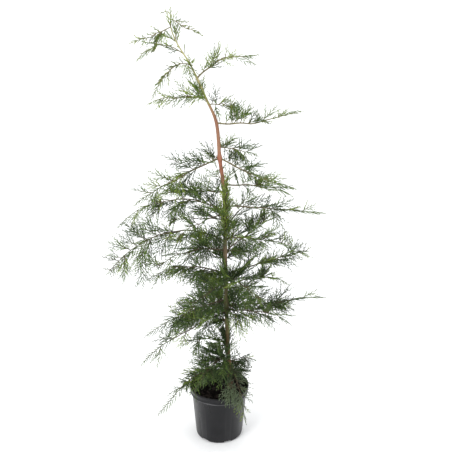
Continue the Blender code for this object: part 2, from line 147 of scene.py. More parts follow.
class Finish:
    """A procedural material with one Principled shader."""

    def __init__(self, name, **constants):
        self.material = bpy.data.materials.new(name)
        self.material.use_nodes = True
        self.tree = self.material.node_tree
        self.shader = self.tree.nodes["Principled BSDF"]
        for socket, constant in constants.items():
            self.shader.inputs[socket.replace("_", " ")].default_value = constant
        self.place = self.node("ShaderNodeTexCoord", output="Object")

    def node(self, kind, settings=None, inputs=None, output=0):
        """Any node: its settings, a ramp's stops among them, then its sockets' values or links."""
        made = self.tree.nodes.new(kind)
        for setting, choice in (settings or {}).items():
            if setting == "stops":
                ramp = made.color_ramp
                ramp.elements.remove(ramp.elements[1])
                for index, (position, colour) in enumerate(choice):
                    stop = ramp.elements[0] if index == 0 else ramp.elements.new(position)
                    stop.position = position
                    stop.color = (*colour, 1.0)
            else:
                setattr(made, setting, choice)
        for socket, source in (inputs or {}).items():
            if isinstance(source, Value):
                self.tree.links.new(source.socket, made.inputs[socket])
            else:
                made.inputs[socket].default_value = source
        return Value(self, made.outputs[output])

    def stretched(self, scale):
        """Object coordinates, scaled apart along X, Y and Z."""
        return self.node("ShaderNodeMapping", inputs={"Vector": self.place, "Scale": scale})

    def noise(self, scale, detail=3.0, place=None):
        inputs = {"Vector": place or self.place, "Scale": scale, "Detail": detail}
        return self.node("ShaderNodeTexNoise", inputs=inputs)

    def height(self):
        return self.node("ShaderNodeSeparateXYZ", inputs={"Vector": self.place}, output="Z")

    def blend(self, share, colour, other):
        """A colour between two, by a share from 0 to 1."""
        sides = {6: colour, 7: other, 0: share}
        for socket in (6, 7):
            if isinstance(sides[socket], tuple):
                sides[socket] = (*sides[socket], 1.0)
        return self.node("ShaderNodeMix", {"data_type": "RGBA"}, sides, output=2)

    def colour(self, share, colour, other):
        """The base colour, between two colours by a share from 0 to 1."""
        self.wire("Base Color", self.blend(share, colour, other))

    def ramp(self, share, stops):
        return self.node("ShaderNodeValToRGB", {"stops": stops}, {"Fac": share})

    def relief(self, height, strength, distance):
        """The surface relief from a height value."""
        inputs = {"Height": height, "Strength": strength, "Distance": distance}
        self.wire("Normal", self.node("ShaderNodeBump", inputs=inputs))

    def wire(self, socket, value):
        self.tree.links.new(value.socket, self.shader.inputs[socket])


def begun(primitive, **settings):
    """A new piece from one of the primitives, selected alone."""
    bpy.ops.object.select_all(action="DESELECT")
    primitive(**settings)
    return bpy.context.active_object


def raised(name, rings, sides):
    """A closed piece raised from a disc, with one extrusion for each ring of (centre, radius)."""
    centre, radius = rings[0]
    disc = {"vertices": sides, "radius": radius, "fill_type": "NGON", "location": centre}
    piece = begun(bpy.ops.mesh.primitive_circle_add, **disc)
    piece.name = name
    bpy.ops.object.transform_apply(location=True, rotation=True, scale=True)
    bpy.ops.object.mode_set(mode="EDIT")
    bpy.ops.mesh.select_all(action="SELECT")
    for (low, low_radius), (high, high_radius) in zip(rings, rings[1:]):
        step = Vector(high) - Vector(low)
        bpy.ops.mesh.extrude_region_move(TRANSFORM_OT_translate={"value": step})
        wider = high_radius / low_radius
        bpy.ops.transform.resize(value=(wider, wider, 1), center_override=high)
    bpy.ops.mesh.select_all(action="SELECT")
    bpy.ops.mesh.normals_make_consistent(inside=False)
    bpy.ops.object.mode_set(mode="OBJECT")
    return piece


def finished(piece, finish, slot, *nodes, shades=None):
    """Gives a piece its finish and its body, and hides the imported parts that it stands for.

    A piece with several finishes has in shades which of them each face takes.
    """
    piece.data.materials.clear()
    for each in finish if isinstance(finish, list) else [finish]:
        piece.data.materials.append(each.material)
    if shades is not None:
        piece.data.polygons.foreach_set("material_index", shades.astype(np.int32))
    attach(piece, "root")
    if nodes:
        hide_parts(*nodes)


def applied(piece, kind, **settings):
    """Adds one modifier with its settings and applies it."""
    bpy.ops.object.select_all(action="DESELECT")
    piece.select_set(True)
    bpy.context.view_layer.objects.active = piece
    modifier = piece.modifiers.new(kind.lower(), kind)
    for setting, choice in settings.items():
        setattr(modifier, setting, choice)
    bpy.ops.object.modifier_apply(modifier=modifier.name)


def pot_rings():
    """The pot's section from the foot up outside, over the rim and down inside to the floor."""
    rings = []
    for step in range(CORNER_STEPS + 1):
        turn = math.pi / 2 * step / CORNER_STEPS
        radius = BASE_RADIUS - BASE_CORNER * (1 - math.sin(turn))
        rings.append((radius, BASE_CORNER * (1 - math.cos(turn))))
    waist = RIM_RADIUS - COLLAR_LEAN
    rings += [
        (waist + RIDGE - COLLAR_STEP, COLLAR_FOOT - 2 * RIDGE),
        (waist + BEAD, COLLAR_FOOT),
        (waist + BEAD, COLLAR_FOOT + RIDGE),
        (waist, COLLAR_FOOT + RIDGE + BEAD),
        (RIM_RADIUS - 2 * RIDGE, POT_HEIGHT - 5 * RIDGE),
        (RIM_RADIUS, POT_HEIGHT - 4 * RIDGE),
        (RIM_RADIUS, POT_HEIGHT - RIDGE),
        (RIM_RADIUS - RIDGE, POT_HEIGHT),
        (RIM_RADIUS - RIM_WALL, POT_HEIGHT),
        (waist - POT_WALL, COLLAR_FOOT + COLLAR_LEAN),
        (waist - COLLAR_STEP - POT_WALL, COLLAR_FOOT - POT_WALL),
        (BASE_RADIUS - POT_WALL, POT_FLOOR + BASE_CORNER),
        (BASE_RADIUS - POT_WALL - BASE_CORNER, POT_FLOOR),
    ]
    return [((0, 0, height), radius) for radius, height in rings]


pot = raised("nursery_pot", pot_rings(), POT_SIDES)
for index in range(NOTCHES):
    turn = math.radians(FIRST_NOTCH + 360 * index / NOTCHES)
    spot = (BASE_RADIUS * math.cos(turn), BASE_RADIUS * math.sin(turn), 0)
    block = {"size": 1, "location": spot, "rotation": (0, 0, turn), "scale": NOTCH_SIZE}
    cutter = begun(bpy.ops.mesh.primitive_cube_add, **block)
    bpy.ops.object.transform_apply(location=False, rotation=False, scale=True)
    applied(cutter, "BEVEL", width=NOTCH_ROUND, segments=3)
    applied(pot, "BOOLEAN", operation="DIFFERENCE", object=cutter)
    bpy.data.objects.remove(cutter)
applied(pot, "BEVEL", width=POT_EDGE, segments=2, limit_method="ANGLE", angle_limit=EDGE_ANGLE)
bpy.ops.object.shade_smooth_by_angle(angle=SMOOTH_ANGLE)

plastic = Finish("black_polypropylene", Specular_IOR_Level=0.22)
flow = plastic.noise(scale=1.0, detail=4.0, place=plastic.stretched(STREAK_SCALE))
grit = plastic.noise(scale=150.0, detail=5.0)
cloud = plastic.noise(scale=22.0, detail=3.0)
pores = plastic.noise(scale=900.0, detail=2.0)
splash = (1 - plastic.height() / SPLASH_HEIGHT).held()
clouded = cloud.above(level=0.45, gain=1.6) * CLOUD_DUST
dust = clouded + splash * (grit * SPLASH_DUST) + (flow - 0.5) * STREAK_DUST
# A painted highlight along the ridge's bead, where the light would catch it
above_bead = (plastic.height() - COLLAR_FOOT - RIDGE / 2) / BEAD
bead_highlight = (1 - above_bead * above_bead).held() * (0.5 + flow * 0.5)
dusty = plastic.blend(dust.held(), POT_BLACK, POT_DUST)
plastic.colour(bead_highlight * BEAD_HIGHLIGHT_SHARE, dusty, POT_BEAD_HIGHLIGHT)
plastic.wire("Roughness", POT_GLOSS + flow * STREAK_MATT + dust * DUST_MATT)
plastic.relief(flow * STREAK_RELIEF + pores * PORE_RELIEF, strength=0.25, distance=0.0006)
finished(pot, plastic, "pot_plastic", "pot")


# The compost. Moist dark peat with bark fines, firmed level a finger's width under the rim. The pot
# holds it, the trunk stands in it, and loose crumbs and chips lie on top.

SOIL_LEVEL = 0.160
SOIL_EDGE = 0.0886
SOIL_MIDDLE = 0.001
# The plug inside the pot's wall: height, radius
SOIL_PLUG = ((POT_FLOOR + 0.0004, 0.066), (0.010, 0.0728), (0.148, 0.0836))
SOIL_RINGS = 30
SOIL_SIDES = 96
# Its waves, the scale and the share of each kind, the strip along the wall where they fade, and
# the layer of the noise that they are read in
SOIL_WAVE = 0.0022
SOIL_ROUGHNESS = ((45, 0.6), (160, 0.3), (420, 0.15))
SOIL_FADE = 0.010
SOIL_LAYER = 0.3
# How near its level a point counts as its surface
SURFACE_DEPTH = 0.001
# The mound round the trunk's foot: its middle, its width and its height in waves
MOUND_X = 0.0345
MOUND_WIDTH = 0.022
MOUND_HEIGHT = 0.8
# What lies on top: how many, how long, how flat, and the seed that strews them; then how clear
# of the wall they lie, how narrow, how tilted, how uneven and how far out of the compost
CRUMBS = (1500, (0.0009, 0.0026), (0.5, 0.9), 5)
CHIPS = (160, (0.003, 0.008), (0.12, 0.25), 6)
CHIP_CUBE = 1.6
STREWN_CLEAR = 0.004
STREWN_NARROWER = (0.5, 0.9)
STREWN_TILT = 0.5
STREWN_UNEVEN = (0.8, 1.2)
STREWN_LIFT = 0.12
PEAT_DARK = (0.0028, 0.0024, 0.0020)
PEAT_BROWN = (0.0075, 0.0056, 0.0042)
CHIP_BROWN = (0.0170, 0.0110, 0.0080)


def soil_rings():
    """A plug inside the pot's wall, then rings drawn in across its top."""
    rings = [((0, 0, height), radius) for height, radius in SOIL_PLUG]
    for step in range(SOIL_RINGS):
        radius = SOIL_EDGE * (1 - step / SOIL_RINGS) + SOIL_MIDDLE * step / SOIL_RINGS
        rings.append(((0, 0, SOIL_LEVEL), radius))
    return rings


def soil_height(x, y):
    """The height of the compost's surface, higher round the trunk's foot."""
    spot = Vector((x, y, SOIL_LAYER))
    rough = sum(noise.noise(spot * scale) * share for scale, share in SOIL_ROUGHNESS)
    mound = math.exp(-(((x - MOUND_X) ** 2 + y**2) / MOUND_WIDTH**2)) * MOUND_HEIGHT
    fade = min(max((SOIL_EDGE - math.hypot(x, y)) / SOIL_FADE, 0.0), 1.0)
    return SOIL_LEVEL + SOIL_WAVE * (rough + mound) * fade


compost = raised("compost_bed", soil_rings(), SOIL_SIDES)
for vert in compost.data.vertices:
    if vert.co.z > SOIL_LEVEL - SURFACE_DEPTH:
        vert.co.z = soil_height(vert.co.x, vert.co.y)
compost.data.shade_smooth()


def joined(name, points, faces, smooth=True):
    """One piece from arrays of points and triangles."""
    mesh = bpy.data.meshes.new(name)
    mesh.vertices.add(len(points))
    mesh.vertices.foreach_set("co", np.asarray(points, np.float32).ravel())
    mesh.loops.add(len(faces) * 3)
    mesh.loops.foreach_set("vertex_index", np.asarray(faces, np.int32).ravel())
    mesh.polygons.add(len(faces))
    mesh.polygons.foreach_set("loop_start", np.arange(len(faces), dtype=np.int32) * 3)
    mesh.polygons.foreach_set("use_smooth", np.full(len(faces), smooth))
    mesh.update(calc_edges=True)
    piece = bpy.data.objects.new(name, mesh)
    bpy.context.scene.collection.objects.link(piece)
    return piece


def scattered(name, source, count, sizes, flatness, seed):
    """Copies of one small shape, each turned and stretched its own way, strewn on the compost."""
    rng = np.random.default_rng(seed)
    shape = np.array([vert.co[:] for vert in source.data.vertices])
    triangles = []
    for face in source.data.polygons:
        corners = list(face.vertices)
        triangles += [(corners[0], corners[i], corners[i + 1]) for i in range(1, len(corners) - 1)]
    points, faces = [], []
    for index in range(count):
        reach = (SOIL_EDGE - STREWN_CLEAR) * math.sqrt(rng.random())
        turn = rng.random() * 2 * math.pi
        x, y = reach * math.cos(turn), reach * math.sin(turn)
        size = rng.uniform(*sizes)
        stretch = np.array([1.0, rng.uniform(*STREWN_NARROWER), rng.uniform(*flatness)]) * size
        spin = rng.random() * 2 * math.pi
        tilt = rng.uniform(-STREWN_TILT, STREWN_TILT)
        uneven = (shape * rng.uniform(*STREWN_UNEVEN, shape.shape)) * stretch
        cosine, sine = math.cos(spin), math.sin(spin)
        spun = uneven @ np.array([[cosine, sine, 0], [-sine, cosine, 0], [0, 0, 1]])
        spun[:, 2] += spun[:, 0] * tilt
        points.append(spun + [x, y, soil_height(x, y) + size * STREWN_LIFT])
        faces.append(np.array(triangles) + index * len(shape))
    bpy.data.objects.remove(source)
    return joined(name, np.concatenate(points), np.concatenate(faces), smooth=False)


crumb = begun(bpy.ops.mesh.primitive_ico_sphere_add, subdivisions=1, radius=1)
crumbs = scattered("compost_crumbs", crumb, *CRUMBS)
chip = begun(bpy.ops.mesh.primitive_cube_add, size=CHIP_CUBE)
chips = scattered("bark_chips", chip, *CHIPS)

peat = Finish("moist_peat", Roughness=0.95, Specular_IOR_Level=0.05)
lumps = peat.noise(scale=260.0, detail=6.0)
peat.colour(lumps.above(level=0.4, gain=2.5), PEAT_DARK, PEAT_BROWN)
peat.relief(lumps, strength=0.8, distance=0.0012)
chip_finish = Finish("bark_chip", Roughness=0.9, Specular_IOR_Level=0.10)
chip_grain = chip_finish.noise(scale=300.0, detail=4.0)
chip_finish.colour(chip_grain, PEAT_BROWN, CHIP_BROWN)
chip_finish.relief(chip_grain, strength=0.5, distance=0.0008)
finished(compost, peat, "compost", "soil")
finished(crumbs, peat, "compost")
finished(chips, chip_finish, "compost")


# The trunk. The living stem from a flared foot in the compost up to the nodding leader. Its thin
# bark is dark and stringy low down, red-brown and smooth in the bare stretch, green at the top.

# Its centre line: height, x, y, diameter
TRUNK_COURSE = (
    (0.1603, 0.0345, 0.000, 0.0220),
    (0.1680, 0.0345, 0.000, 0.0180),
    (0.1950, 0.0340, 0.000, 0.0142),
    (0.3500, 0.0262, 0.003, 0.0130),
    (0.6000, 0.0200, -0.002, 0.0120),
    (0.8200, 0.0160, 0.002, 0.0110),
    (0.9150, 0.0040, 0.002, 0.0106),
    (1.0230, -0.0060, 0.000, 0.0096),
    (1.0900, -0.0340, -0.004, 0.0074),
    (1.1810, -0.0750, -0.008, 0.0054),
    (1.2400, -0.1110, -0.010, 0.0042),
    (1.2820, -0.1270, -0.010, 0.0032),
    (1.3140, -0.1260, -0.008, 0.0022),
)
# Its knots: height, how far they stand out
TRUNK_KNOTS = ((0.918, 0.0020), (0.560, 0.0012), (0.452, 0.0012))
KNOT_LENGTH = 0.010
TRUNK_SIDES = 24
TRUNK_STEP = 0.0030
# Strings of bark: how deep, how close round and along the stem, coarse and then fine ones, and
# from what height down they grow to full depth, over what length, from what share of it
STRING_DEPTH = 0.00042
ROPE_SCALE = (3.2, 22)
FIBRE_SCALE = (8.0, 90)
FIBRE_SHARE = 0.5
SMOOTH_ABOVE = 1.05
SMOOTH_FADE = 0.6
SMOOTH_SHARE = 0.25
# The flare at the foot: the depth of its lobes, its height, how many lobes and where they stand
FLARE_DEPTH = 0.0016
FLARE_HEIGHT = 0.018
FLARE_LOBES = 3
FLARE_TURN = 0.6
# The collar under each limb: how far it swells, its width along the stem, how many widths it
# reaches, and the thinnest stem that has all of it
COLLAR_SWELL = 0.0011
COLLAR_WIDTH = 0.0065
COLLAR_END = 2.5
COLLAR_STEM = 0.006
BARK_DARK = (0.020, 0.012, 0.008)
BARK_PALE = (0.34, 0.25, 0.17)
BARK_STRINGS = (320, 320, 42)
# How far mottling shifts the bark's colour up and down the stem, how dark its furrows and how pale
# its flecks are, and the share of the flecks in its relief
MOTTLE_SHIFT = 0.10
DARK_SHARE = 0.55
PALE_SHARE = 0.45
FLECK_RELIEF = 0.4
# The bark's colour from the lowest height to the highest that are given under it. The pale stop at
# 0.40 and the pale yellow stops from 0.84 up are partly painted highlight
BARK_STOPS = (
    (0.00, (0.110, 0.060, 0.032)),
    (0.08, (0.120, 0.065, 0.028)),
    (0.15, (0.085, 0.060, 0.022)),
    (0.24, (0.096, 0.095, 0.038)),
    (0.33, (0.115, 0.092, 0.045)),
    (0.40, (0.230, 0.160, 0.100)),
    (0.44, (0.110, 0.105, 0.042)),
    (0.57, (0.105, 0.130, 0.046)),
    (0.60, (0.230, 0.115, 0.064)),
    (0.62, (0.280, 0.110, 0.066)),
    (0.65, (0.330, 0.120, 0.072)),
    (0.68, (0.310, 0.165, 0.098)),
    (0.75, (0.225, 0.105, 0.062)),
    (0.785, (0.290, 0.180, 0.100)),
    (0.80, (0.210, 0.240, 0.070)),
    (0.82, (0.230, 0.250, 0.075)),
    (0.84, (0.380, 0.330, 0.160)),
    (1.00, (0.460, 0.465, 0.230)),
)
BARK_LOW, BARK_HIGH = 0.16, 1.32


class Limb(NamedTuple):
    """A bough with the foliage it carries, or foliage that springs straight from the trunk."""

    name: str
    height: float  # where it leaves the trunk
    azimuth: float  # degrees from +X towards +Y
    reach: float  # level distance from the trunk to its tip
    rise: float  # how far its tip lies above where it starts
    arch: float  # how far its middle stands above the straight line
    bare: float  # share of its length that is a bough with no foliage
    sprays: int  # side sprays that the solid has
    spread: float  # length of a side spray
    lift: float  # degrees that the side sprays stand up out of the flat
    light: float = 0.10  # how much lighter its foliage is than its height tells

    @property
    def number(self):
        return int(self.name[:2])

    @property
    def draw(self):
        """The number that its random draws go by."""
        return self.number - 1


LIMBS = (
    Limb("01_front_right", 0.225, -66, 0.131, -0.125, 0.046, 0.00, 4, 0.050, -15, 0.28),
    Limb("02_left_front", 0.239, 215, 0.265, -0.083, 0.045, 0.00, 4, 0.085, -10, 0.18),
    Limb("03_front_left", 0.268, 236, 0.190, -0.031, 0.030, 0.00, 5, 0.075, 15),
    Limb("04_left_back", 0.314, 150, 0.175, -0.050, 0.022, 0.00, 5, 0.075, 20),
    Limb("05_right", 0.253, 12, 0.095, -0.010, 0.015, 0.00, 3, 0.050, 20, 0.14),
    Limb("06_back", 0.240, 112, 0.160, 0.000, 0.020, 0.00, 3, 0.070, 20, 0.01),
    Limb("07_back_right", 0.212, 58, 0.130, 0.005, 0.015, 0.00, 3, 0.055, 20),
    Limb("08_left", 0.470, 198, 0.262, -0.088, 0.018, 0.00, 5, 0.085, -5),
    Limb("09_front_left", 0.429, 222, 0.330, -0.064, 0.021, 0.18, 5, 0.090, -5),
    Limb("10_right", 0.449, -4, 0.307, 0.038, 0.000, 0.16, 5, 0.085, 15),
    Limb("11_front_right", 0.438, -38, 0.255, 0.056, 0.000, 0.00, 5, 0.085, -40),
    Limb("12_back_left", 0.395, 136, 0.225, 0.010, 0.020, 0.00, 4, 0.080, 25),
    Limb("13_back_right", 0.420, 66, 0.235, 0.010, 0.020, 0.00, 4, 0.085, 10, 0.08),
    Limb("14_right_back", 0.510, 36, 0.260, -0.060, 0.035, 0.00, 5, 0.080, 15),
    Limb("15_right", 0.556, 10, 0.263, 0.058, 0.006, 0.16, 5, 0.085, 25),
    Limb("16_left", 0.556, 170, 0.256, -0.042, 0.036, 0.16, 5, 0.085, -20),
    Limb("17_front_right", 0.535, -58, 0.210, 0.010, 0.015, 0.00, 4, 0.085, 10),
    Limb("18_front_left", 0.515, 240, 0.215, -0.005, 0.020, 0.00, 5, 0.085, 35),
    Limb("19_back", 0.585, 96, 0.240, 0.030, 0.020, 0.00, 4, 0.085, 15, 0.09),
    Limb("20_right_back", 0.628, 32, 0.185, 0.098, 0.006, 0.00, 4, 0.080, 15),
    Limb("21_left_front", 0.632, 212, 0.235, -0.012, 0.030, 0.20, 5, 0.085, -5, 0.09),
    Limb("22_left", 0.662, 190, 0.358, -0.083, 0.080, 0.22, 7, 0.115, -35),
    Limb("23_right_front", 0.672, -34, 0.230, 0.020, 0.012, 0.00, 4, 0.080, 20),
    Limb("24_front", 0.650, -84, 0.046, 0.220, 0.000, 0.00, 5, 0.040, 0, 0.48),
    Limb("25_back_right", 0.700, 62, 0.205, 0.045, 0.015, 0.00, 4, 0.080, 20),
    Limb("26_left_back", 0.733, 146, 0.225, -0.050, 0.004, 0.00, 4, 0.085, 40),
    Limb("27_left", 0.755, 178, 0.325, -0.055, 0.062, 0.00, 7, 0.100, -28),
    Limb("28_right", 0.773, -9, 0.298, -0.008, 0.004, 0.16, 5, 0.080, 25),
    Limb("29_front_left", 0.745, 228, 0.200, -0.020, 0.015, 0.00, 5, 0.080, 45),
    Limb("30_back", 0.800, 98, 0.180, 0.035, 0.015, 0.00, 4, 0.080, 20),
    Limb("31_left_back", 0.815, 156, 0.215, -0.030, 0.006, 0.00, 5, 0.080, 30, 0.04),
    Limb("32_right_back", 0.838, 22, 0.240, -0.040, 0.002, 0.20, 4, 0.075, 20),
    Limb("33_left", 0.918, 203, 0.262, -0.114, 0.010, 0.14, 6, 0.085, 58),
    Limb("34_right_front", 0.918, -28, 0.242, -0.062, -0.008, 0.20, 4, 0.080, 20),
    Limb("35_right_back", 0.950, 38, 0.150, -0.050, 0.006, 0.00, 4, 0.078, 30),
    Limb("36_right", 1.020, -12, 0.246, 0.043, -0.014, 0.14, 4, 0.078, 40, 0.18),
    Limb("37_back_right", 1.073, 48, 0.105, -0.020, 0.005, 0.00, 3, 0.060, 50),
    Limb("38_left_back", 1.090, 164, 0.180, -0.027, 0.013, 0.00, 4, 0.065, 40, 0.24),
    Limb("39_right_back", 1.146, 34, 0.205, 0.022, 0.040, 0.14, 4, 0.070, 5),
    Limb("40_left_front", 1.181, 216, 0.128, -0.084, 0.036, 0.00, 3, 0.045, -15),
    Limb("41_left_back", 1.211, 151, 0.162, -0.028, 0.034, 0.00, 4, 0.055, 0, 0.17),
    Limb("42_left_front", 1.283, 200, 0.116, -0.040, -0.004, 0.00, 3, 0.052, -15, 0.18),
    Limb("43_right_front", 1.304, -24, 0.098, -0.043, -0.002, 0.00, 2, 0.034, 10),
    Limb("44_tip", 1.3139, 172, 0.030, 0.003, 0.007, 0.00, 0, 0.020, 0, 0.00),
)
UP = Vector((0, 0, 1))


def along(rows, height):
    """The row at this height, on a smooth curve through the rows."""
    height = min(max(height, rows[0][0]), rows[-1][0])
    index = max(i for i in range(len(rows) - 1) if rows[i][0] <= height)
    low, high = rows[index], rows[index + 1]
    before, after = rows[max(index - 1, 0)], rows[min(index + 2, len(rows) - 1)]
    span = high[0] - low[0]
    share = (height - low[0]) / span
    found = []
    for column in range(1, len(low)):
        slope_low = (high[column] - before[column]) / (high[0] - before[0])
        slope_high = (after[column] - low[column]) / (after[0] - low[0])
        if before is low:
            slope_low = (high[column] - low[column]) / span
        found.append(
            low[column] * (1 + 2 * share) * (1 - share) ** 2
            + high[column] * share**2 * (3 - 2 * share)
            + span * slope_low * share * (1 - share) ** 2
            + span * slope_high * share**2 * (share - 1)
        )
    return found


def trunk_place(height):
    """Centre and radius of the trunk at this height, with its knots."""
    x, y, diameter = along(TRUNK_COURSE, height)
    swelling = sum(
        size * math.exp(-(((height - knot) / KNOT_LENGTH) ** 2)) for knot, size in TRUNK_KNOTS
    )
    return Vector((x, y, height)), diameter / 2 + swelling


def bark_relief(point, centre):
    """How far the bark stands out here: its strings, the flare, and a collar under each limb."""
    outward = point - centre
    outward.z = 0
    radius = outward.length
    outward.normalize()
    ropes, fibres = (
        noise.noise(Vector((outward.x * around, outward.y * around, point.z * upward)))
        for around, upward in (ROPE_SCALE, FIBRE_SCALE)
    )
    strong = min(max((SMOOTH_ABOVE - point.z) / SMOOTH_FADE, SMOOTH_SHARE), 1.0)
    depth = STRING_DEPTH * strong * (ropes + FIBRE_SHARE * fibres)
    flare = math.exp(-((point.z - SOIL_LEVEL) / FLARE_HEIGHT))
    lobe = math.cos(FLARE_LOBES * math.atan2(outward.y, outward.x) + FLARE_TURN)
    depth += FLARE_DEPTH * flare * lobe
    for limb in LIMBS:
        off = (point.z - limb.height) / COLLAR_WIDTH
        if abs(off) < COLLAR_END:
            toward = outward.x * math.cos(math.radians(limb.azimuth))
            toward += outward.y * math.sin(math.radians(limb.azimuth))
            if toward > 0:
                swell = COLLAR_SWELL * min(radius / COLLAR_STEM, 1.0)
                depth += swell * toward**4 * math.exp(-off * off)
    return outward * depth


steps = round((TRUNK_COURSE[-1][0] - TRUNK_COURSE[0][0]) / TRUNK_STEP)
trunk_heights = [TRUNK_COURSE[0][0] + TRUNK_STEP * step for step in range(steps + 1)]
trunk_rings = [trunk_place(height) for height in trunk_heights]
trunk = raised("trunk_bark", trunk_rings, TRUNK_SIDES)
for vert in trunk.data.vertices:
    vert.co += bark_relief(vert.co, trunk_place(vert.co.z)[0])
trunk.data.shade_smooth()


def bark_finish(name, stops, strings):
    """Thin bark: its colour changes with height, mottled along its strings."""
    bark = Finish(name, Roughness=0.78, Specular_IOR_Level=0.3)
    share = (bark.height() - BARK_LOW) / (BARK_HIGH - BARK_LOW)
    mottle = bark.noise(scale=1.0, detail=4.0, place=bark.stretched(strings))
    flecks = bark.noise(scale=420.0, detail=3.0)
    colour = bark.ramp((share + (mottle - 0.5) * MOTTLE_SHIFT).held(), stops)
    dark = bark.blend(mottle.below(level=0.52, gain=3.0) * DARK_SHARE, colour, BARK_DARK)
    bark.colour(flecks.above(level=0.58, gain=3.0) * PALE_SHARE, dark, BARK_PALE)
    bark.relief(mottle + flecks * FLECK_RELIEF, strength=0.6, distance=0.0008)
    return bark


finished(trunk, bark_finish("trunk_bark", BARK_STOPS, BARK_STRINGS), "bark", "trunk")


# The boughs. Each leaves the trunk at a small collar and tapers out through its own foliage, with
# smooth thin brown bark near the trunk and green skin towards its tip. They are grown on the stem,
# not fixed to it.

BOUGH_RADIUS = 0.0025
# The radius of a stem that foliage hides to its foot, and its share where the foliage is short
LEAN_RADIUS = 0.0019
LEAN_SHARES = (0.35, 0.65)
FULL_SPREAD = 0.080
TIP_RADIUS = 0.0006
BOUGH_TAPER = 0.8
# Nearly upright, so that hardly a stem runs along it: what the sides of stems are squared to
NEAR_UP = (0.02, 0.03, 1.0)
BOUGH_SIDES = 7
BOUGH_POINTS = 26
# The small bends of a bough: how far they stray, how close they come, how far apart two boughs
# read the noise, and the layer of it for the bends up and down
BOUGH_WAVE = 0.0035
BENDS = 5
BEND_STEP = 7.3
BOB_LAYER = 9.0
GREEN_FROM = 0.62
# The outer end of each bough, from a share of it on, bows by these shares of its length, aside
# and upwards, up rather than down; then where it reads the noise
END_FROM = 0.6
END_SWAY = 0.10
END_ARCH = 0.05
END_RISING = 0.4
END_STEP = 5.7
END_START = 0.31
SWAY_LAYER = (3.2, 1.7)
ARCH_LAYER = (8.2, 4.7)
BOUGH_GRAIN = (160, 160, 160)
GREEN_GRAIN = (200, 200, 200)
BOUGH_STOPS = (
    (0.00, (0.056, 0.042, 0.024)),
    (0.45, (0.088, 0.070, 0.038)),
    (0.64, (0.150, 0.128, 0.064)),
    (1.00, (0.190, 0.172, 0.082)),
)
GREEN_STOPS = (
    (0.00, (0.055, 0.068, 0.026)),
    (0.60, (0.095, 0.110, 0.038)),
    (1.00, (0.200, 0.215, 0.070)),
)


def facing(azimuth):
    """The level directions out along this azimuth and across it."""
    turn = math.radians(azimuth)
    return Vector((math.cos(turn), math.sin(turn), 0)), Vector((-math.sin(turn), math.cos(turn), 0))


def limb_point(limb, share):
    """A point on the limb's course: out from the trunk's middle, rising or falling, and arched."""
    start, _ = trunk_place(limb.height)
    outward, _ = facing(limb.azimuth)
    height = limb.rise * share + limb.arch * 4 * share * (1 - share)
    return start + outward * (limb.reach * share) + UP * height


def end_bow(limb):
    """How far the middle of the limb's outer end stands off the straight line."""
    _, across = facing(limb.azimuth)
    drawn = limb.draw * END_STEP + END_START
    sway = noise.noise(Vector((drawn, *SWAY_LAYER))) * END_SWAY
    arch = (END_RISING + noise.noise(Vector((drawn, *ARCH_LAYER)))) * END_ARCH
    return (across * sway + UP * arch) * (limb.reach * (1 - END_FROM))


def wandering_point(limb, share):
    """The same course with the small bends of a grown bough, none at its two ends."""
    _, across = facing(limb.azimuth)
    bend = math.sin(math.pi * share) * BOUGH_WAVE
    drift = noise.noise(Vector((share * BENDS, limb.draw * BEND_STEP, 0.0)))
    bob = noise.noise(Vector((share * BENDS, limb.draw * BEND_STEP, BOB_LAYER)))
    end = max(0.0, (share - END_FROM) / (1 - END_FROM))
    bow = end_bow(limb) * (4 * end * (1 - end))
    return limb_point(limb, share) + (across * drift + UP * bob) * (2 * bend) + bow


def bough_radius(limb, share):
    """Thick where it leaves the trunk, thin as a shoot at its tip."""
    least, rest = LEAN_SHARES
    lean = LEAN_RADIUS * min(1.0, least + rest * limb.spread / FULL_SPREAD)
    foot = BOUGH_RADIUS if limb.bare else lean
    return TIP_RADIUS + (foot - TIP_RADIUS) * (1 - share) ** BOUGH_TAPER


def tube_arrays(courses, radii, sides):
    """Points and triangles of many tapering stems at once, each closed at its root.

    courses has one row of points for each stem, and radii the radius at each of those points.
    """
    courses = np.asarray(courses, float)
    radii = np.asarray(radii, float)
    stems, count, _ = courses.shape
    ahead = np.gradient(courses, axis=1)
    ahead /= np.linalg.norm(ahead, axis=2, keepdims=True)
    side = np.cross(ahead, NEAR_UP)
    side /= np.linalg.norm(side, axis=2, keepdims=True)
    over = np.cross(side, ahead)
    turns = 2 * math.pi * np.arange(sides) / sides
    ring = side[:, :, None] * np.cos(turns)[:, None] + over[:, :, None] * np.sin(turns)[:, None]
    rings = courses[:, :, None] + ring * radii[:, :, None, None]
    per_stem = (count - 1) * sides + 1
    points = np.concatenate([rings[:, :-1].reshape(stems, -1, 3), courses[:, -1:]], axis=1)
    faces = []
    for step in range(count - 2):
        for k in range(sides):
            a, b = step * sides + k, step * sides + (k + 1) % sides
            faces += [(a, b, b + sides), (a, b + sides, a + sides)]
    last = (count - 2) * sides
    faces += [(last + k, last + (k + 1) % sides, per_stem - 1) for k in range(sides)]
    faces += [(0, k + 1, k) for k in range(1, sides - 1)]
    faces = np.array(faces)[None] + (np.arange(stems) * per_stem)[:, None, None]
    return points.reshape(-1, 3), faces.reshape(-1, 3)


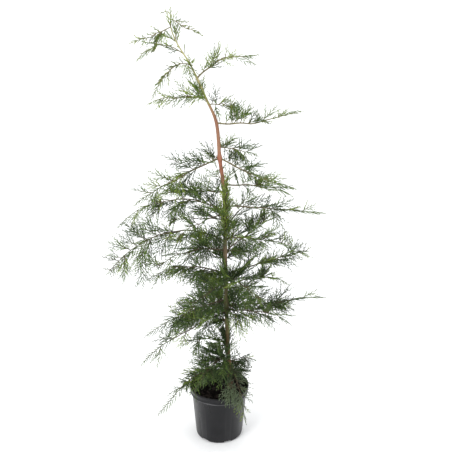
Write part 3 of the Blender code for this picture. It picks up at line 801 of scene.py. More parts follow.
bough_shares = [index / (BOUGH_POINTS - 1) for index in range(BOUGH_POINTS)]
bough_courses = [[wandering_point(limb, share) for share in bough_shares] for limb in LIMBS]
bough_radii = [[bough_radius(limb, share) for share in bough_shares] for limb in LIMBS]
bough_points, bough_faces = tube_arrays(bough_courses, bough_radii, BOUGH_SIDES)
faces_each = len(bough_faces) // len(LIMBS)
face_share = (np.arange(len(bough_faces)) % faces_each) / faces_each
boughs = joined("boughs", bough_points, bough_faces)
bough_bark = bark_finish("bough_bark", BOUGH_STOPS, BOUGH_GRAIN)
green_skin = bark_finish("green_skin", GREEN_STOPS, GREEN_GRAIN)
bare_boughs = [f"bough_{limb.name}" for limb in LIMBS if limb.bare]
green = face_share > GREEN_FROM
finished(boughs, [bough_bark, green_skin], "bark", *bare_boughs, shades=green)


# The foliage. Side shoots leave each bough left and right in turn. They carry plumes, the plumes
# carry branchlets, and those the last sprigs, all clad in tiny scale leaves. Nothing holds them
# but their twigs.

# The seed of the solids' random draws, and its multiples for tones, for a limb's own twigs and
# for those of its placed shoots
SEED = 20
TONE_SEED = SEED * 7
LIMB_SEED = SEED * 1000
PLACED_SEED = SEED * 2000
# How long shoots are, as shares of the limb's spread: at its foot, and lost by its tip
SHOOT_AT_FOOT = 1.15
SHOOT_LOSS = 0.70
# Where the first stands in its step, and where foliage starts on a limb with no bare bough
FIRST_SHOOT = 0.3
FOOT_CLEAR = 0.03
# How far along the limb its direction is taken
AHEAD_STEP = 0.01
# How far shoots bend on along the limb, and up or down, and how much their tones differ
SWEEP = 0.10
CURL_UP = (-0.02, 0.10)
CURL_DOWN = (-0.28, -0.12)
TONE_SPREAD = 0.30
# How far past the box of the solids they may reach, and how they are cut until they don't
REACH_MARGIN = 0.008
SHORTENING = 0.85
# The shoots that the solid has: their angles, their sizes, the roll of their flat
FORK_ANGLE = math.radians(46)
FORK_LEAN = (-0.12, 0.12)
LIFT_LEAN = (-14, 14)
SOLID_SIZE = (0.9, 1.1)
FLAT_ROLL = (-0.35, 0.35)
# The teeth of a solid's spray, passed over in its random draws
TOOTH_PITCH = 0.0225
LEAST_TEETH = 3
TOOTH_DRAWS = 6
# The shoots between them: their angles, how much wider upright ones stand, sizes, roll
SHOOT_ANGLE = (0.60, 0.85)
UPRIGHT_ANGLE = 0.45
SIZE_SPREAD = (0.75, 1.25)
TWIST_SPREAD = 0.5
# How far up the placed ones curl
PLACED_CURL = 0.03
# The limb's own end: how far its flat is rolled up, and how much lighter it is
END_ROLL = 0.9
END_LIGHT = 0.08
# Tones: at the middle height, then painted light: how much lighter with height, and along the limb
# out of the crown's shade
TONE_MIDDLE = 0.24
MIDDLE_HEIGHT = 0.7
PAINTED_LIGHT_RISE = 0.16
PAINTED_LIGHT_ALONG = 0.06


# Stretches of shoots between those of the solid, by the limb's number: how many, from and to
# what percent of the limb, from and to how many degrees up out of the flat, how long in percent
# of the solid's, seed
STRETCHES = {
    1: ((3, 3, 31, -40, 55, 75, 101), (4, 0, 30, -30, 75, 50, 103)),
    2: (
        (16, 24, 30, -32, 89, 95, 9123), (14, 11, 66, 25, 50, 59, 6497),
        (14, 55, 61, -42, -22, 40, 6752), (8, 55, 63, -14, 112, 50, 8218),
    ),
    3: (
        (12, 8, 14, -35, 68, 95, 2946), (2, 85, 97, -99, 14, 78, 5979),
        (9, 0, 94, -31, 40, 81, 1517), (7, 0, 37, 64, 84, 73, 7261),
    ),
    4: (
        (3, 0, 6, -29, -9, 55, 1759), (4, 58, 66, -100, -80, 95, 9123),
        (16, 0, 6, 33, 107, 75, 869), (2, 0, 8, -1, 35, 49, 2025),
    ),
    5: (
        (1, 7, 75, -72, 31, 95, 5746), (1, 55, 61, -85, -18, 95, 1354),
        (8, 2, 12, -91, -71, 90, 2007),
    ),
    6: (
        (3, 20, 69, -34, 28, 95, 6763), (7, 27, 59, 31, 115, 45, 4224),
        (12, 74, 90, -59, 6, 75, 9148),
    ),
    7: (
        (16, 0, 9, -34, -14, 95, 1400), (12, 0, 26, -100, -72, 40, 339),
        (3, 35, 41, -53, 31, 52, 727),
    ),
    8: (
        (7, 1, 8, 85, 115, 92, 1461), (16, 26, 59, -85, -32, 73, 6681),
        (11, 33, 60, 2, 78, 71, 4255), (16, 5, 57, -100, 48, 95, 5537),
    ),
    9: ((1, 46, 63, -16, 14, 95, 9780), (5, 16, 46, 1, 83, 83, 5692), (12, 0, 14, 3, 66, 43, 2465)),
    10: (
        (16, 3, 48, -100, 73, 76, 5428), (5, 27, 53, 71, 92, 49, 3354),
        (4, 0, 73, -100, 62, 49, 6201), (16, 40, 53, -70, 28, 73, 3208),
    ),
    11: (
        (8, 0, 14, -95, 115, 95, 2815), (5, 0, 49, -100, -28, 65, 6164),
        (10, 0, 16, -2, 27, 44, 5728), (16, 54, 61, 54, 74, 46, 6841),
        (7, 24, 42, 18, 115, 76, 8202),
    ),
    12: (
        (9, 0, 6, -100, -35, 72, 1089), (4, 27, 80, -37, -9, 93, 8123),
        (16, 0, 56, 75, 115, 95, 964),
    ),
    13: (
        (4, 59, 70, 57, 77, 50, 993), (5, 5, 39, 67, 107, 66, 2540), (16, 0, 87, 23, 72, 62, 9377),
    ),
    14: (
        (3, 0, 34, -42, 14, 95, 6727), (1, 21, 33, -15, 103, 84, 6205),
        (16, 49, 55, 35, 79, 75, 5268),
    ),
    15: (
        (16, 37, 53, -8, 86, 40, 9088), (7, 69, 97, 47, 97, 75, 4854),
        (1, 47, 53, -32, -12, 64, 4748), (16, 37, 91, -64, 30, 80, 1453),
    ),
    16: (
        (6, 37, 86, -100, -80, 66, 9643), (12, 29, 46, -51, 86, 52, 9397),
        (9, 45, 55, -19, 1, 73, 3058), (13, 0, 30, -81, -55, 75, 1481),
    ),
    17: (
        (10, 0, 21, 21, 70, 95, 8073), (10, 2, 18, 85, 115, 43, 4452),
        (6, 75, 87, -100, -23, 50, 8765),
    ),
    18: (
        (13, 0, 46, 74, 94, 63, 1874), (9, 59, 91, -44, 60, 95, 1755),
        (4, 34, 92, -89, 115, 95, 7434),
    ),
    19: (
        (6, 34, 66, -79, -55, 44, 2636), (8, 7, 14, -28, 84, 79, 1161),
        (2, 85, 97, 12, 86, 87, 4676),
    ),
    20: (
        (4, 1, 7, -100, -53, 95, 4110), (16, 48, 81, 85, 105, 72, 2692),
        (9, 38, 85, 38, 108, 92, 6171), (2, 5, 63, -92, -53, 74, 4306),
    ),
    21: (
        (11, 23, 34, -100, 63, 73, 6424), (5, 85, 97, -21, 115, 95, 321),
        (12, 33, 49, -93, 76, 46, 2775), (11, 7, 39, 38, 115, 82, 4113),
    ),
    22: (
        (1, 43, 75, -73, 53, 87, 5418), (3, 23, 80, -54, 80, 65, 7252),
        (6, 85, 96, -100, -65, 45, 2090), (2, 12, 22, -57, 110, 73, 8500),
        (9, 50, 97, 65, 112, 86, 7998), (1, 41, 62, -98, -78, 95, 5345),
    ),
    23: (
        (5, 7, 40, -61, 88, 86, 2836), (8, 77, 94, 85, 115, 75, 9437),
        (7, 44, 61, -57, 46, 92, 9331), (8, 10, 87, -74, -54, 45, 2862),
    ),
    24: ((14, 3, 34, -40, 60, 135, 186), (32, 34, 95, -50, 60, 150, 187)),
    25: (
        (13, 0, 15, -26, 22, 53, 7659), (1, 0, 68, 42, 62, 72, 5993),
        (1, 57, 97, 12, 115, 67, 2974),
    ),
    26: (
        (2, 0, 10, 81, 101, 92, 1146), (16, 81, 87, -69, 46, 53, 6822),
        (4, 81, 90, 85, 115, 45, 4462),
    ),
    27: (
        (2, 10, 16, 3, 34, 87, 1010), (14, 55, 61, -43, 58, 54, 339),
        (7, 19, 39, -100, 77, 83, 7436),
    ),
    28: (
        (6, 36, 49, -96, 49, 83, 4015), (3, 64, 70, -4, 43, 52, 4620),
        (1, 28, 52, -92, 83, 48, 8108), (1, 11, 17, 52, 115, 67, 4759),
    ),
    29: (
        (1, 85, 97, -18, 18, 95, 573), (1, 48, 63, -80, -60, 70, 8787),
        (14, 85, 97, -100, -74, 47, 2520),
    ),
    30: (
        (1, 65, 85, 85, 115, 83, 8864), (4, 30, 42, -100, -80, 55, 5029),
        (2, 26, 54, -100, -63, 50, 3672),
    ),
    31: (
        (3, 0, 46, -59, 18, 84, 4346), (15, 72, 81, 58, 115, 40, 758),
        (11, 47, 57, -67, 20, 57, 7960), (16, 31, 75, -51, 83, 63, 1921),
    ),
    32: (
        (14, 41, 47, -21, 106, 73, 2569), (1, 23, 29, -100, -73, 62, 2005),
        (1, 50, 68, -55, 48, 94, 1139),
    ),
    33: (
        (6, 2, 10, 85, 115, 40, 4215), (2, 10, 57, 47, 85, 63, 4492),
        (1, 28, 37, -18, 86, 95, 1904), (4, 0, 25, 15, 115, 72, 7412),
        (9, 31, 59, 8, 28, 40, 1492), (5, 21, 85, -80, -19, 95, 1936),
    ),
    34: (
        (3, 14, 39, -37, -13, 78, 7653), (5, 0, 41, -44, 99, 41, 9500),
        (3, 30, 38, 28, 99, 71, 3232), (1, 0, 12, 81, 115, 73, 5184),
    ),
    35: (
        (5, 0, 6, 3, 51, 49, 1729), (13, 32, 45, -72, -24, 51, 5457),
        (6, 4, 68, -100, -80, 76, 1569),
    ),
    36: (
        (4, 44, 50, 85, 115, 40, 8123), (2, 51, 57, -96, 83, 40, 4523),
        (2, 42, 50, -26, 67, 62, 6128), (7, 8, 40, 71, 115, 66, 7328),
    ),
    37: (
        (9, 85, 97, 85, 115, 62, 6845), (16, 74, 97, -100, 17, 87, 4988),
        (5, 13, 73, -100, 35, 87, 5737),
    ),
    38: (
        (4, 3, 9, 54, 74, 90, 5718), (4, 10, 25, -10, 11, 85, 2424), (5, 0, 6, -24, 44, 40, 9817),
        (6, 44, 76, -100, -33, 71, 9714),
    ),
    39: (
        (4, 5, 58, -16, 92, 73, 8648), (2, 6, 18, -51, 115, 59, 6342),
        (1, 25, 96, 78, 107, 79, 8711),
    ),
    40: (
        (9, 56, 76, -12, 22, 78, 4821), (12, 20, 58, -100, 93, 48, 7490),
        (6, 25, 76, 11, 31, 40, 6942),
    ),
    41: (
        (1, 45, 82, -73, -35, 53, 3205), (13, 54, 60, -70, 25, 40, 2279),
        (1, 85, 95, 6, 115, 47, 5199),
    ),
    42: ((6, 20, 26, -100, -80, 66, 9275), (10, 10, 83, -77, 56, 59, 5373)),
    43: ((9, 24, 84, 1, 73, 53, 3080),),
}
# Limbs whose shoots keep nearer to them, with the least and the widest angle that they leave at
CLOSE_FORKS = {1: (0.15, 0.50), 24: (0.15, 0.40)}
# Shoots set one by one, by the limb's number: at what percent of the limb, left or right, degrees
# up out of the flat, degrees off the limb, length
PLACED = {
    1: (
        (36, 1, -10, 54, 0.100), (44, 1, -10, 42, 0.085), (52, 1, 0, 46, 0.070),
        (60, 1, -5, 34, 0.066), (68, 1, 0, 40, 0.056), (76, 1, 5, 28, 0.048),
        (86, 1, 0, 32, 0.034), (42, -1, 20, 62, 0.052), (52, -1, 10, 46, 0.055),
        (66, -1, 0, 44, 0.045), (80, -1, 0, 38, 0.034), (12, 1, -70, 70, 0.045),
        (22, 1, -60, 60, 0.045), (32, -1, -40, 60, 0.055), (20, -1, -30, 60, 0.055),
    ),
    2: ((25, 1, -70, 60, 0.055), (36, -1, -75, 60, 0.050), (18, -1, -80, 60, 0.055)),
    3: (
        (8, 1, -85, 75, 0.055), (14, -1, -80, 70, 0.060), (24, 1, -80, 60, 0.060),
        (36, -1, -75, 55, 0.060), (50, 1, -75, 55, 0.055), (62, -1, -70, 50, 0.050),
    ),
    5: ((30, -1, -60, 60, 0.055), (55, -1, -70, 60, 0.050)),
    22: ((70, 1, -88, 66, 0.145), (84, -1, -80, 50, 0.080)),
}
# Short shoots that spring from the trunk: height, direction, rise, length
TRUNK_SHOOTS = (
    (1.233, 140, 3.9, 0.065), (1.228, 110, 0.1, 0.022), (1.282, -119, 2.0, 0.052),
    (1.177, -97, 0.7, 0.062), (1.081, -169, 0.8, 0.053), (0.742, 152, 0.7, 0.049),
    (0.820, 175, -1.9, 0.015), (0.831, -129, 1.3, 0.014), (0.232, -92, -0.8, 0.045),
    (0.222, -60, -0.5, 0.045), (0.366, -168, -3.2, 0.034), (0.390, -29, -3.2, 0.025),
    (1.194, -77, -1.7, 0.065), (1.213, -3, 15.0, 0.025), (1.287, -83, 8.7, 0.049),
    (1.247, -161, 0.5, 0.055), (1.251, -50, 10.1, 0.060), (1.128, -94, -1.0, 0.065),
    (1.088, 150, 1.8, 0.017), (0.643, 141, -16.2, 0.046), (0.850, 159, -2.7, 0.065),
    (0.339, 72, 8.5, 0.054), (0.722, 17, -6.6, 0.056), (0.586, -179, 11.1, 0.065),
)
TRUNK_SHOOT_SEED = 99
TRUNK_SHOOT_BEND = 0.05
# Their tone: at the height given, how much lighter with height as painted light, and how much they
# differ
TRUNK_SHOOT_TONE = (0.25, 0.5, 0.50, 0.15)
# How clear of the pot, the compost, the pot's inside and the trunk the twigs keep
POT_CLEAR = 0.0012
SOIL_CLEAR = 0.003
WALL_CLEAR = 0.002
TRUNK_CLEAR = 0.0004
# The pot's outside, without its small steps
SKIN_HEIGHTS = (0, COLLAR_FOOT - 2 * RIDGE, COLLAR_FOOT, POT_HEIGHT)
SKIN_RADII = (BASE_RADIUS, 0.0875, 0.092, RIM_RADIUS)
# Tubes of few faces: places along them, radius, how thick the tip is beside the foot, sides
SHOOT_TUBE = (8, 0.0011, 0.45, 4)
PLUME_TUBE = (4, 0.0009, 0.5, 3)
BRANCHLET_TUBE = (3, 0.0012, 0.6, 3)
# Sprigs: half their width, the length that has all of it, where they are widest, and how far
# their two lower edges stand down and in, as shares of that half
SPRIG_HALF = 0.0010
SPRIG_FULL = 0.0045
SPRIG_BELLY = 0.4
SPRIG_DEPTH = 0.7
SPRIG_BACK = 0.5
# The share of each shoot that is brown twig
BROWN_SHARE = 0.35
# The most triangles that a piece of foliage has
PIECE_TRIANGLES = 170000
# Base colours from the crown's inside, darkened there as painted shade, to the fresh growth at its
# tips
FOLIAGE_SHADES = (
    ("inner", (0.0309, 0.0533, 0.0162)),
    ("deep", (0.0600, 0.1020, 0.0310)),
    ("green", (0.1041, 0.1650, 0.0365)),
    ("bright", (0.1800, 0.2460, 0.0420)),
    ("fresh", (0.2600, 0.3300, 0.0600)),
    ("shaded_deep", (0.0800, 0.1050, 0.0590)),
    ("shaded_green", (0.1250, 0.1620, 0.0900)),
)
# The last of the greens for foliage in the light; the two after it are painted shade
FRESHEST = 4
# How much paler and darker the mottling makes them, and how rough and how unevenly so they are
LEAF_PALER = 1.45
LEAF_LIFT = 0.006
LEAF_DARKER = 0.72
LEAF_ROUGHNESS = 0.50
LEAF_UNEVEN = 0.14
# Limbs that hang in the others' shade, and the duller greens that paint that shade on them
SHADED_LIMBS = (1, 5)
SHADED = (0, 5, 6, 3, 4)
# Painted shade on them: how much lighter their foliage gets along them, and where it is as light as
# the others'
SHADED_RISE = 0.50
SHADED_MIDDLE = 0.55


class Order(NamedTuple):
    """How twigs of one order leave the ones that carry them."""

    pitch: float  # distance from one to the next, left and right in turn
    bare: float  # share of the carrier's foot with none on it
    free: float  # length at the carrier's tip with none on it
    share: float  # the longest, as a share of the carrier
    longest: float
    foot: float  # how long the first ones are beside the longest
    taper: float  # how much longer they get with each unit of length back from the carrier's tip
    wide: float  # angle to the carrier at its foot
    narrow: float  # the same at its tip
    scatter: float  # how far they stray from the carrier's flat
    shortest: float
    fresh: float  # how much lighter they get towards the tip
    speckle: float  # how much one differs from the next


PLUMES = Order(0.0095, 0.08, 0.034, 0.58, 0.060, 1.0, 0.60, 0.75, 0.60, 0.50, 0.012, 0.02, 0.12)
BRANCHLETS = Order(
    0.0063, 0.06, 0.002, 0.40, 0.026, 0.60, 0.40, 0.66, 0.46, 0.30, 0.0040, 0.03, 0.05
)
SPRIGS = Order(0.0024, 0.04, 0.000, 0.24, 0.0046, 0.80, 0.34, 0.38, 0.32, 0.30, 0.0024, 0.02, 0.03)
# How much twigs differ: where they stand in their step, their angle, their length, their roll
STEP_SPREAD = (0.2, 0.8)
ANGLE_SPREAD = 0.12
LENGTH_SPREAD = (0.75, 1.10)
ROLL_SPREAD = 0.35
# How fast they reach full length along their carrier, how much they bend on with it, how much of
# its droop they take over, and where along it they have its own tone
FILLING_OUT = 1.3
BENDING_ON = 0.16
DROOPING_ON = 0.6
TONE_PLACE = 0.4


def unit(vectors):
    """The vectors, each made one long."""
    return vectors / np.linalg.norm(vectors, axis=1, keepdims=True)


def dot(some, others):
    """The scalar product of each pair of rows, as a column."""
    return (some * others).sum(1, keepdims=True)


class Twigs(NamedTuple):
    """Twigs of one order, with a row for each in every array."""

    root: np.ndarray
    toward: np.ndarray  # the direction that it sets out in
    bend: np.ndarray  # how far its tip is bent aside, as a share of its length
    flat: np.ndarray  # the direction that its side twigs lean to
    length: np.ndarray
    # The tone's dark end, in the crown's inside, is painted shade
    tone: np.ndarray  # from 0 in the crown's dark inside to 1 at its freshest tips

    def place(self, part):
        return self.root + (self.toward * part + self.bend * part**2) * self.length

    def ahead(self, part):
        return unit(self.toward + self.bend * 2 * part)

    def picked(self, rows):
        return Twigs(*(column[rows] for column in self))


def merged(*sets):
    """Several sets of twigs as one."""
    return Twigs(*(np.concatenate(columns) for columns in zip(*sets)))


trunk_rows = np.array([(*centre, radius) for centre, radius in trunk_rings])


def blocked(points):
    """True for each point that lies in the pot's wall, in the compost or in the trunk."""
    x, y, z = points.T
    out = np.hypot(x, y)
    skin = np.interp(z, SKIN_HEIGHTS, SKIN_RADII)
    in_pot = (z < POT_HEIGHT + POT_CLEAR) & (out < skin + POT_CLEAR)
    in_well = (z > SOIL_LEVEL + SOIL_CLEAR) & (out < SOIL_EDGE - WALL_CLEAR)
    stem_x, stem_y, heights, stem_radii = trunk_rows.T
    away = np.hypot(x - np.interp(z, heights, stem_x), y - np.interp(z, heights, stem_y))
    in_trunk = (away < np.interp(z, heights, stem_radii) + TRUNK_CLEAR) & (z < heights[-1])
    return (in_pot & ~in_well) | in_trunk


def beyond_reach(point):
    """True for a point outside the box of the solids, but for a small margin."""
    low, high = solid_box
    return any(
        value < low[axis] - REACH_MARGIN or value > high[axis] + REACH_MARGIN
        for axis, value in enumerate(point)
    )


def branch(carriers, order, rng):
    """The next order of twigs, left and right in turn along each of their carriers."""
    length = carriers.length[:, 0]
    last = 1 - order.free / length
    span = np.maximum(last - order.bare, 0)
    counts = (span * length / order.pitch + rng.uniform(0, 1, len(length))).astype(int)
    owner = np.repeat(np.arange(len(counts)), counts)
    index = np.arange(len(owner)) - np.repeat(np.cumsum(counts) - counts, counts)
    step = (index + rng.uniform(*STEP_SPREAD, len(owner))) / counts[owner]
    part = (order.bare + span[owner] * step)[:, None]
    hand = np.where(index % 2, 1.0, -1.0)[:, None]
    carrier = carriers.picked(owner)
    ahead = carrier.ahead(part)
    side = unit(carrier.flat - ahead * dot(carrier.flat, ahead))
    over = np.cross(side, ahead)
    angle = order.wide + (order.narrow - order.wide) * part
    angle = angle + rng.uniform(-ANGLE_SPREAD, ANGLE_SPREAD, part.shape)
    stray = rng.uniform(-order.scatter, order.scatter, part.shape)
    outward = side * hand * np.cos(stray) + over * np.sin(stray)
    toward = ahead * np.cos(angle) + outward * np.sin(angle)
    foot = np.minimum(1, order.foot + FILLING_OUT * part)
    tip = order.shortest + order.taper * carrier.length * (1 - part)
    reach = np.minimum(np.minimum(carrier.length * order.share, order.longest) * foot, tip)
    reach = reach * rng.uniform(*LENGTH_SPREAD, part.shape)
    roll = rng.normal(0, ROLL_SPREAD, part.shape)
    tone = carrier.tone + order.fresh * (part - TONE_PLACE)
    tone = tone + rng.uniform(-order.speckle, order.speckle, part.shape)
    grown = Twigs(
        root=carrier.place(part),
        toward=toward,
        bend=ahead * BENDING_ON + carrier.bend * [0, 0, DROOPING_ON],
        flat=ahead * np.cos(roll) + np.cross(outward, ahead) * np.sin(roll),
        length=reach,
        tone=tone,
    )
    return grown.picked(~blocked(grown.place(1.0)) & ~blocked(grown.place(0.5)))


def foliage_start(limb):
    """The share of the limb that has no foliage."""
    return limb.bare or FOOT_CLEAR


def foliage_share(limb, place):
    """How far along the limb's foliage a place along the limb lies."""
    start = foliage_start(limb)
    return (place - start) / (1 - start)


def shoot_length(limb, share):
    """How long a shoot is there, before it differs from the others."""
    return limb.spread * (SHOOT_AT_FOOT - SHOOT_LOSS * share)


def limb_frame(limb, share):
    """The bough's place there, its direction, and the two directions square to it."""
    root = wandering_point(limb, share)
    ahead = (wandering_point(limb, share + AHEAD_STEP) - root).normalized()
    side = ahead.cross(UP).normalized()
    return root, ahead, side, side.cross(ahead)


def solid_shoots(limb):
    """The shoots that the solid has, drawn in the same way."""
    rng = random.Random(SEED + limb.draw)
    tone = random.Random(TONE_SEED + limb.draw)
    rows = []
    for index in range(limb.sprays):
        share = (index + FIRST_SHOOT) / (limb.sprays + 1)
        hand = 1 if index % 2 else -1
        lift = math.radians(limb.lift + rng.uniform(*LIFT_LEAN))
        fork = FORK_ANGLE + rng.uniform(*FORK_LEAN)
        length = shoot_length(limb, share) * rng.uniform(*SOLID_SIZE)
        curl = rng.uniform(*(CURL_UP if limb.lift >= 0 else CURL_DOWN))
        twist = rng.uniform(*FLAT_ROLL)
        shade = tone.uniform(-TONE_SPREAD, TONE_SPREAD)
        rows.append((share, hand, lift, fork, length, curl, twist, shade))
        teeth = max(LEAST_TEETH, round(length / TOOTH_PITCH)) - 1
        for _ in range(TOOTH_DRAWS * teeth):
            rng.random()
    return rows


def stretch_shoots(limb, count, near, far, low, high, size, seed):
    """The shoots of one stretch, left and right in turn."""
    rng = random.Random(seed)
    near, far, size = near / 100, far / 100, size / 100
    rows = []
    for index in range(count):
        share = foliage_share(limb, near + (far - near) * (index + rng.random()) / count)
        hand = -1 if index % 2 else 1
        lift = math.radians(rng.uniform(low, high))
        fork = rng.uniform(*SHOOT_ANGLE) + UPRIGHT_ANGLE * max(0, math.sin(lift))
        if limb.number in CLOSE_FORKS:
            fork = rng.uniform(*CLOSE_FORKS[limb.number])
        length = shoot_length(limb, share) * size * rng.uniform(*SIZE_SPREAD)
        curl = rng.uniform(*(CURL_UP if lift >= 0 else CURL_DOWN))
        twist = rng.gauss(0, TWIST_SPREAD)
        shade = rng.uniform(-TONE_SPREAD, TONE_SPREAD)
        rows.append((share, hand, lift, fork, length, curl, twist, shade))
    return rows


def placed_shoots(limb):
    """The limb's shoots that are set one by one."""
    rows = []
    for place, hand, lift, fork, length in PLACED.get(limb.number, ()):
        share = foliage_share(limb, place / 100)
        angles = math.radians(lift), math.radians(fork)
        rows.append((share, hand, *angles, length, PLACED_CURL, 0.0, 0.0))
    return rows


def twig_columns(rows):
    """Rows of a twig's root, direction, bend, flat, length and tone as one set of twigs."""
    columns = list(zip(*rows))
    vectors = [np.array([vector[:] for vector in column]) for column in columns[:4]]
    return Twigs(*vectors, *(np.array(column)[:, None] for column in columns[4:]))


def base_tone(limb):
    """The tone of the limb's foliage at its foot, painted lighter on higher limbs."""
    return TONE_MIDDLE + PAINTED_LIGHT_RISE * (limb.height - MIDDLE_HEIGHT) + limb.light


def shoot_twigs(limb, rows):
    """Where these shoots of the limb stand, cut short at the limits of the solids."""
    start = foliage_start(limb)
    base = base_tone(limb)
    found = []
    for share, hand, lift, fork, length, curl, twist, tone in rows:
        # Painted shade: the shaded limbs are darkest near the trunk and lighter outward
        if limb.number in SHADED_LIMBS:
            tone += SHADED_RISE * (share - SHADED_MIDDLE)
        root, ahead, side, over = limb_frame(limb, start + (1 - start) * share)
        outward = side * (hand * math.cos(lift)) + over * math.sin(lift)
        toward = ahead * math.cos(fork) + outward * math.sin(fork)
        while beyond_reach(root + toward * length):
            length *= SHORTENING
        bend = ahead * SWEEP + UP * curl
        flat = ahead * math.cos(twist) + over * math.sin(twist)
        found.append((root, toward, bend, flat, length, base + PAINTED_LIGHT_ALONG * share + tone))
    return found


def limb_end(limb):
    """The limb's own outer end, which carries branchlets as a shoot does."""
    middle, _, side, over = limb_frame(limb, END_FROM)
    tip = wandering_point(limb, 1.0)
    length = (tip - middle).length
    bow = end_bow(limb) * (4 / length)
    toward = (tip - middle).normalized() + bow
    flat = (side + over * END_ROLL).normalized()
    return middle, toward, -bow, flat, length, base_tone(limb) + END_LIGHT


def trunk_twigs(rows):
    """The short shoots that spring straight from the trunk."""
    found = []
    tone = random.Random(SEED)
    middle_tone, middle_height, painted_light_rise, spread = TRUNK_SHOOT_TONE
    for height, azimuth, rise, length in rows:
        middle, radius = trunk_place(height)
        outward, _ = facing(azimuth)
        toward = (outward + UP * rise).normalized()
        shade = middle_tone + painted_light_rise * (height - middle_height) + tone.uniform(-spread, spread)
        bend = UP * TRUNK_SHOOT_BEND
        found.append((middle + outward * radius, toward, bend, outward.cross(UP), length, shade))
    return twig_columns(found)


def twig_tubes(twigs, places, radius, taper, sides):
    """Points, triangles and the row of each triangle for twigs drawn as tapering tubes."""
    parts = np.linspace(0, 1, places)
    courses = np.stack([twigs.place(part) for part in parts], axis=1)
    radii = np.tile(radius * (1 - (1 - taper) * parts), (len(courses), 1))
    points, faces = tube_arrays(courses, radii, sides)
    return points, faces, np.repeat(np.arange(len(courses)), len(faces) // len(courses))


def sprig_spindles(sprigs):
    """Points and triangles of sprigs drawn as three-sided spindles, fullest near their foot."""
    side = unit(sprigs.flat - sprigs.toward * dot(sprigs.flat, sprigs.toward))
    over = np.cross(side, sprigs.toward)
    belly = sprigs.place(SPRIG_BELLY)
    half = SPRIG_HALF * np.minimum(1, sprigs.length / SPRIG_FULL)
    deep, back = over * (half * SPRIG_DEPTH), side * (half * SPRIG_BACK)
    ring = [side * half, deep - back, -deep - back]
    corners = np.stack([sprigs.root, *(belly + spoke for spoke in ring), sprigs.place(1.0)], axis=1)
    spindle = np.array([(0, 2, 1), (0, 3, 2), (0, 1, 3), (1, 2, 4), (2, 3, 4), (3, 1, 4)])
    faces = spindle[None] + (np.arange(len(corners)) * corners.shape[1])[:, None, None]
    rows = np.repeat(np.arange(len(corners)), len(spindle))
    return corners.reshape(-1, 3), faces.reshape(-1, 3), rows


def toned(twigs, drawn):
    """Points and triangles of drawn twigs, with its twig's tone for each triangle."""
    points, faces, rows = drawn
    return points, faces, twigs.tone[rows, 0]


def stacked(sets):
    """Several sets of points, triangles and a value for each triangle as one."""
    starts = np.cumsum([0] + [len(points) for points, _, _ in sets[:-1]])
    points = np.concatenate([part[0] for part in sets])
    faces = np.concatenate([part[1] + start for part, start in zip(sets, starts)])
    return points, faces, np.concatenate([part[2] for part in sets])


def foliage_arrays(shoots, plumed, seed):
    """Everything green that these shoots carry; only the first ones, the plumed, carry plumes."""
    rng = np.random.default_rng(seed)
    plumes = branch(shoots.picked(slice(0, plumed)), PLUMES, rng)
    branchlets = branch(merged(shoots, plumes), BRANCHLETS, rng)
    sprigs = branch(branchlets, SPRIGS, rng)
    sets = []
    if len(plumes.length):
        sets.append(toned(plumes, twig_tubes(plumes, *PLUME_TUBE)))
    sets.append(toned(branchlets, twig_tubes(branchlets, *BRANCHLET_TUBE)))
    sets.append(toned(sprigs, sprig_spindles(sprigs)))
    return stacked(sets)


def leaf_finish(name, colour):
    """Scale leaves: one green for the spray, barely mottled, with a fine scaly relief."""
    leaf = Finish(f"foliage_{name}", Specular_IOR_Level=0.18)
    mottle = leaf.noise(scale=70.0, detail=2.0)
    paler = tuple(min(part * LEAF_PALER + LEAF_LIFT, 1.0) for part in colour)
    darker = tuple(part * LEAF_DARKER for part in colour)
    leaf.colour(mottle, darker, paler)
    leaf.wire("Roughness", LEAF_ROUGHNESS + mottle * LEAF_UNEVEN)
    scales = leaf.node("ShaderNodeTexVoronoi", inputs={"Vector": leaf.place, "Scale": 900.0})
    leaf.relief(scales, strength=0.35, distance=0.0004)
    return leaf


leaf_finishes = [leaf_finish(name, colour) for name, colour in FOLIAGE_SHADES]


def dealt_shades(tones, number=0):
    """Which of the greens each triangle of the limb with this number gets, by its tone."""
    shades = np.clip((tones * (FRESHEST + 1)).astype(int), 0, FRESHEST)
    return np.array(SHADED)[shades] if number in SHADED_LIMBS else shades


def foliage_piece(piece_number, gathered):
    """Joins the foliage of some limbs into one piece that stands for their masses."""
    points, faces, shades = stacked([arrays for _, arrays in gathered])
    piece = joined(f"foliage_{piece_number:02d}", points, faces)
    masses = [f"mass_{name}" for name, _ in gathered if name]
    finished(piece, leaf_finishes, "foliage", *masses, shades=shades)


gathered = []
shoot_sets = []
piece_number = 1
for limb in LIMBS:
    rows = shoot_twigs(limb, solid_shoots(limb))
    groups = [(twig_columns([*rows, limb_end(limb)]), len(rows), LIMB_SEED + limb.draw)]
    for stretch in STRETCHES.get(limb.number, ()):
        rows = shoot_twigs(limb, stretch_shoots(limb, *stretch))
        groups.append((twig_columns(rows), len(rows), stretch[-1]))
    rows = shoot_twigs(limb, placed_shoots(limb))
    if rows:
        groups.append((twig_columns(rows), len(rows), PLACED_SEED + limb.draw))
    points, faces, tones = stacked([foliage_arrays(*group) for group in groups])
    if sum(len(part[1]) for _, part in gathered) + len(faces) > PIECE_TRIANGLES:
        foliage_piece(piece_number, gathered)
        piece_number += 1
        gathered = []
    gathered.append((limb.name, (points, faces, dealt_shades(tones, limb.number))))
    for shoots, plumed, _ in groups:
        if plumed:
            shoot_sets.append(twig_tubes(shoots.picked(slice(0, plumed)), *SHOOT_TUBE))
trunk_shoots = trunk_twigs(TRUNK_SHOOTS)
points, faces, tones = foliage_arrays(trunk_shoots, len(TRUNK_SHOOTS), TRUNK_SHOOT_SEED)
gathered.append(("", (points, faces, dealt_shades(tones))))
shoot_sets.append(twig_tubes(trunk_shoots, *SHOOT_TUBE))
foliage_piece(piece_number, gathered)

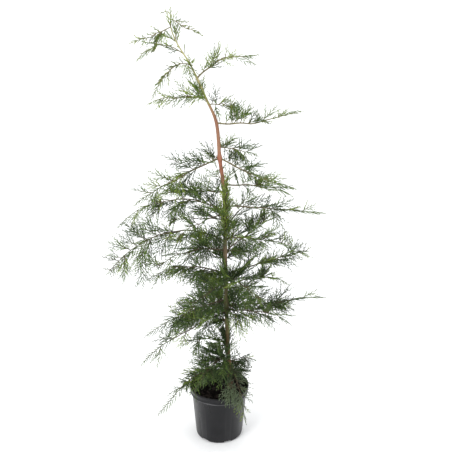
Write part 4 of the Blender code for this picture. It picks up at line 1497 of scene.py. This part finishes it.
twig_points, twig_faces, _ = stacked(shoot_sets)
twigs = joined("twigs", twig_points, twig_faces)
_, first_faces, first_rows = shoot_sets[0]
runs = np.arange(len(twig_faces)) % (len(first_faces) // (first_rows.max() + 1))
green = runs > runs.max() * BROWN_SHARE
finished(twigs, [bough_bark, green_skin], "bark", shades=green)


# The studio. A pale sweep of painted board under the pot, a big soft light from the upper left,
# weaker ones from low left, from the right and from above, and the camera a little over the
# plant's top, looking down.

PHOTO_SIDE = 452
FOCAL_PIXELS = 711.1
SENSOR = 36.0
CAMERA_PLACE = (0.0219, -2.0, 1.400)
CAMERA_PITCH = math.radians(71.0)
FLOOR_SIDE = 14.0
SWEEP_BACK = 3.2
SWEEP_ROUND = 1.2
SWEEP_STEPS = 16
SWEEP_HEIGHT = 6.0
EDGE_REACH = 0.01
BOARD_WHITE = (0.93, 0.93, 0.93)
BOARD_SHADE = tuple(part * 0.985 for part in BOARD_WHITE)
ROOM_WHITE = (0.97, 0.985, 1.0)
ROOM_STRENGTH = 0.9
# Name, place, what it is turned to, the length of its side, watts
LIGHTS = (
    ("key_light", (-2.2, -2.4, 2.9), (0, 0, 0.6), 1.8, 65),
    ("low_light", (-1.9, -2.2, 0.8), (0, 0, 0.5), 1.0, 22),
    ("side_light", (2.8, -1.2, 1.8), (0, 0, 0.6), 1.6, 26),
    ("top_light", (0.2, 0.6, 3.6), (0, 0, 0.5), 2.4, 46),
)

floor_middle = (0, SWEEP_BACK - FLOOR_SIDE / 2, 0)
board = begun(bpy.ops.mesh.primitive_plane_add, size=1, location=floor_middle)
board.name = "studio_sweep"
board.scale = (FLOOR_SIDE, FLOOR_SIDE, 1)
bpy.ops.object.transform_apply(location=True, rotation=True, scale=True)


def with_edges(piece, wanted):
    """Goes into edit mode with those edges selected whose ends are both wanted."""
    bpy.ops.object.mode_set(mode="EDIT")
    bpy.ops.mesh.select_mode(type="EDGE")
    bpy.ops.mesh.select_all(action="DESELECT")
    bpy.ops.object.mode_set(mode="OBJECT")
    for edge in piece.data.edges:
        edge.select = all(wanted(piece.data.vertices[end].co) for end in edge.vertices)
    bpy.ops.object.mode_set(mode="EDIT")


with_edges(board, lambda end: end.y > SWEEP_BACK - EDGE_REACH)
bpy.ops.mesh.extrude_region_move(TRANSFORM_OT_translate={"value": (0, 0, SWEEP_HEIGHT)})
with_edges(board, lambda end: end.y > SWEEP_BACK - EDGE_REACH and end.z < EDGE_REACH)
bpy.ops.mesh.bevel(offset=SWEEP_ROUND, segments=SWEEP_STEPS)
bpy.ops.mesh.select_all(action="SELECT")
bpy.ops.mesh.normals_make_consistent(inside=False)
bpy.ops.object.mode_set(mode="OBJECT")
bpy.ops.object.shade_smooth_by_angle(angle=SMOOTH_ANGLE)
paint = Finish("board_paint", Roughness=0.9, Specular_IOR_Level=0.2)
paint.colour(paint.noise(scale=3.0, detail=2.0), BOARD_WHITE, BOARD_SHADE)
board.data.materials.append(paint.material)

for name, place, target, side, watts in LIGHTS:
    light = bpy.data.lights.new(name, "AREA")
    light.shape = "SQUARE"
    light.size = side
    light.energy = watts
    lamp = bpy.data.objects.new(name, light)
    lamp.location = place
    lamp.rotation_euler = (Vector(target) - Vector(place)).to_track_quat("-Z", "Y").to_euler()
    bpy.context.scene.collection.objects.link(lamp)

room = bpy.data.worlds.new("studio_room")
room.use_nodes = True
backdrop = room.node_tree.nodes["Background"]
backdrop.inputs["Color"].default_value = (*ROOM_WHITE, 1.0)
backdrop.inputs["Strength"].default_value = ROOM_STRENGTH
bpy.context.scene.world = room
bpy.context.scene.view_settings.view_transform = "Standard"

lens = bpy.data.cameras.new("camera")
lens.sensor_width = SENSOR
lens.lens = FOCAL_PIXELS / PHOTO_SIDE * SENSOR
camera = bpy.data.objects.new("camera", lens)
camera.location = CAMERA_PLACE
camera.rotation_euler = (CAMERA_PITCH, 0, 0)
bpy.context.scene.collection.objects.link(camera)
bpy.context.scene.camera = camera
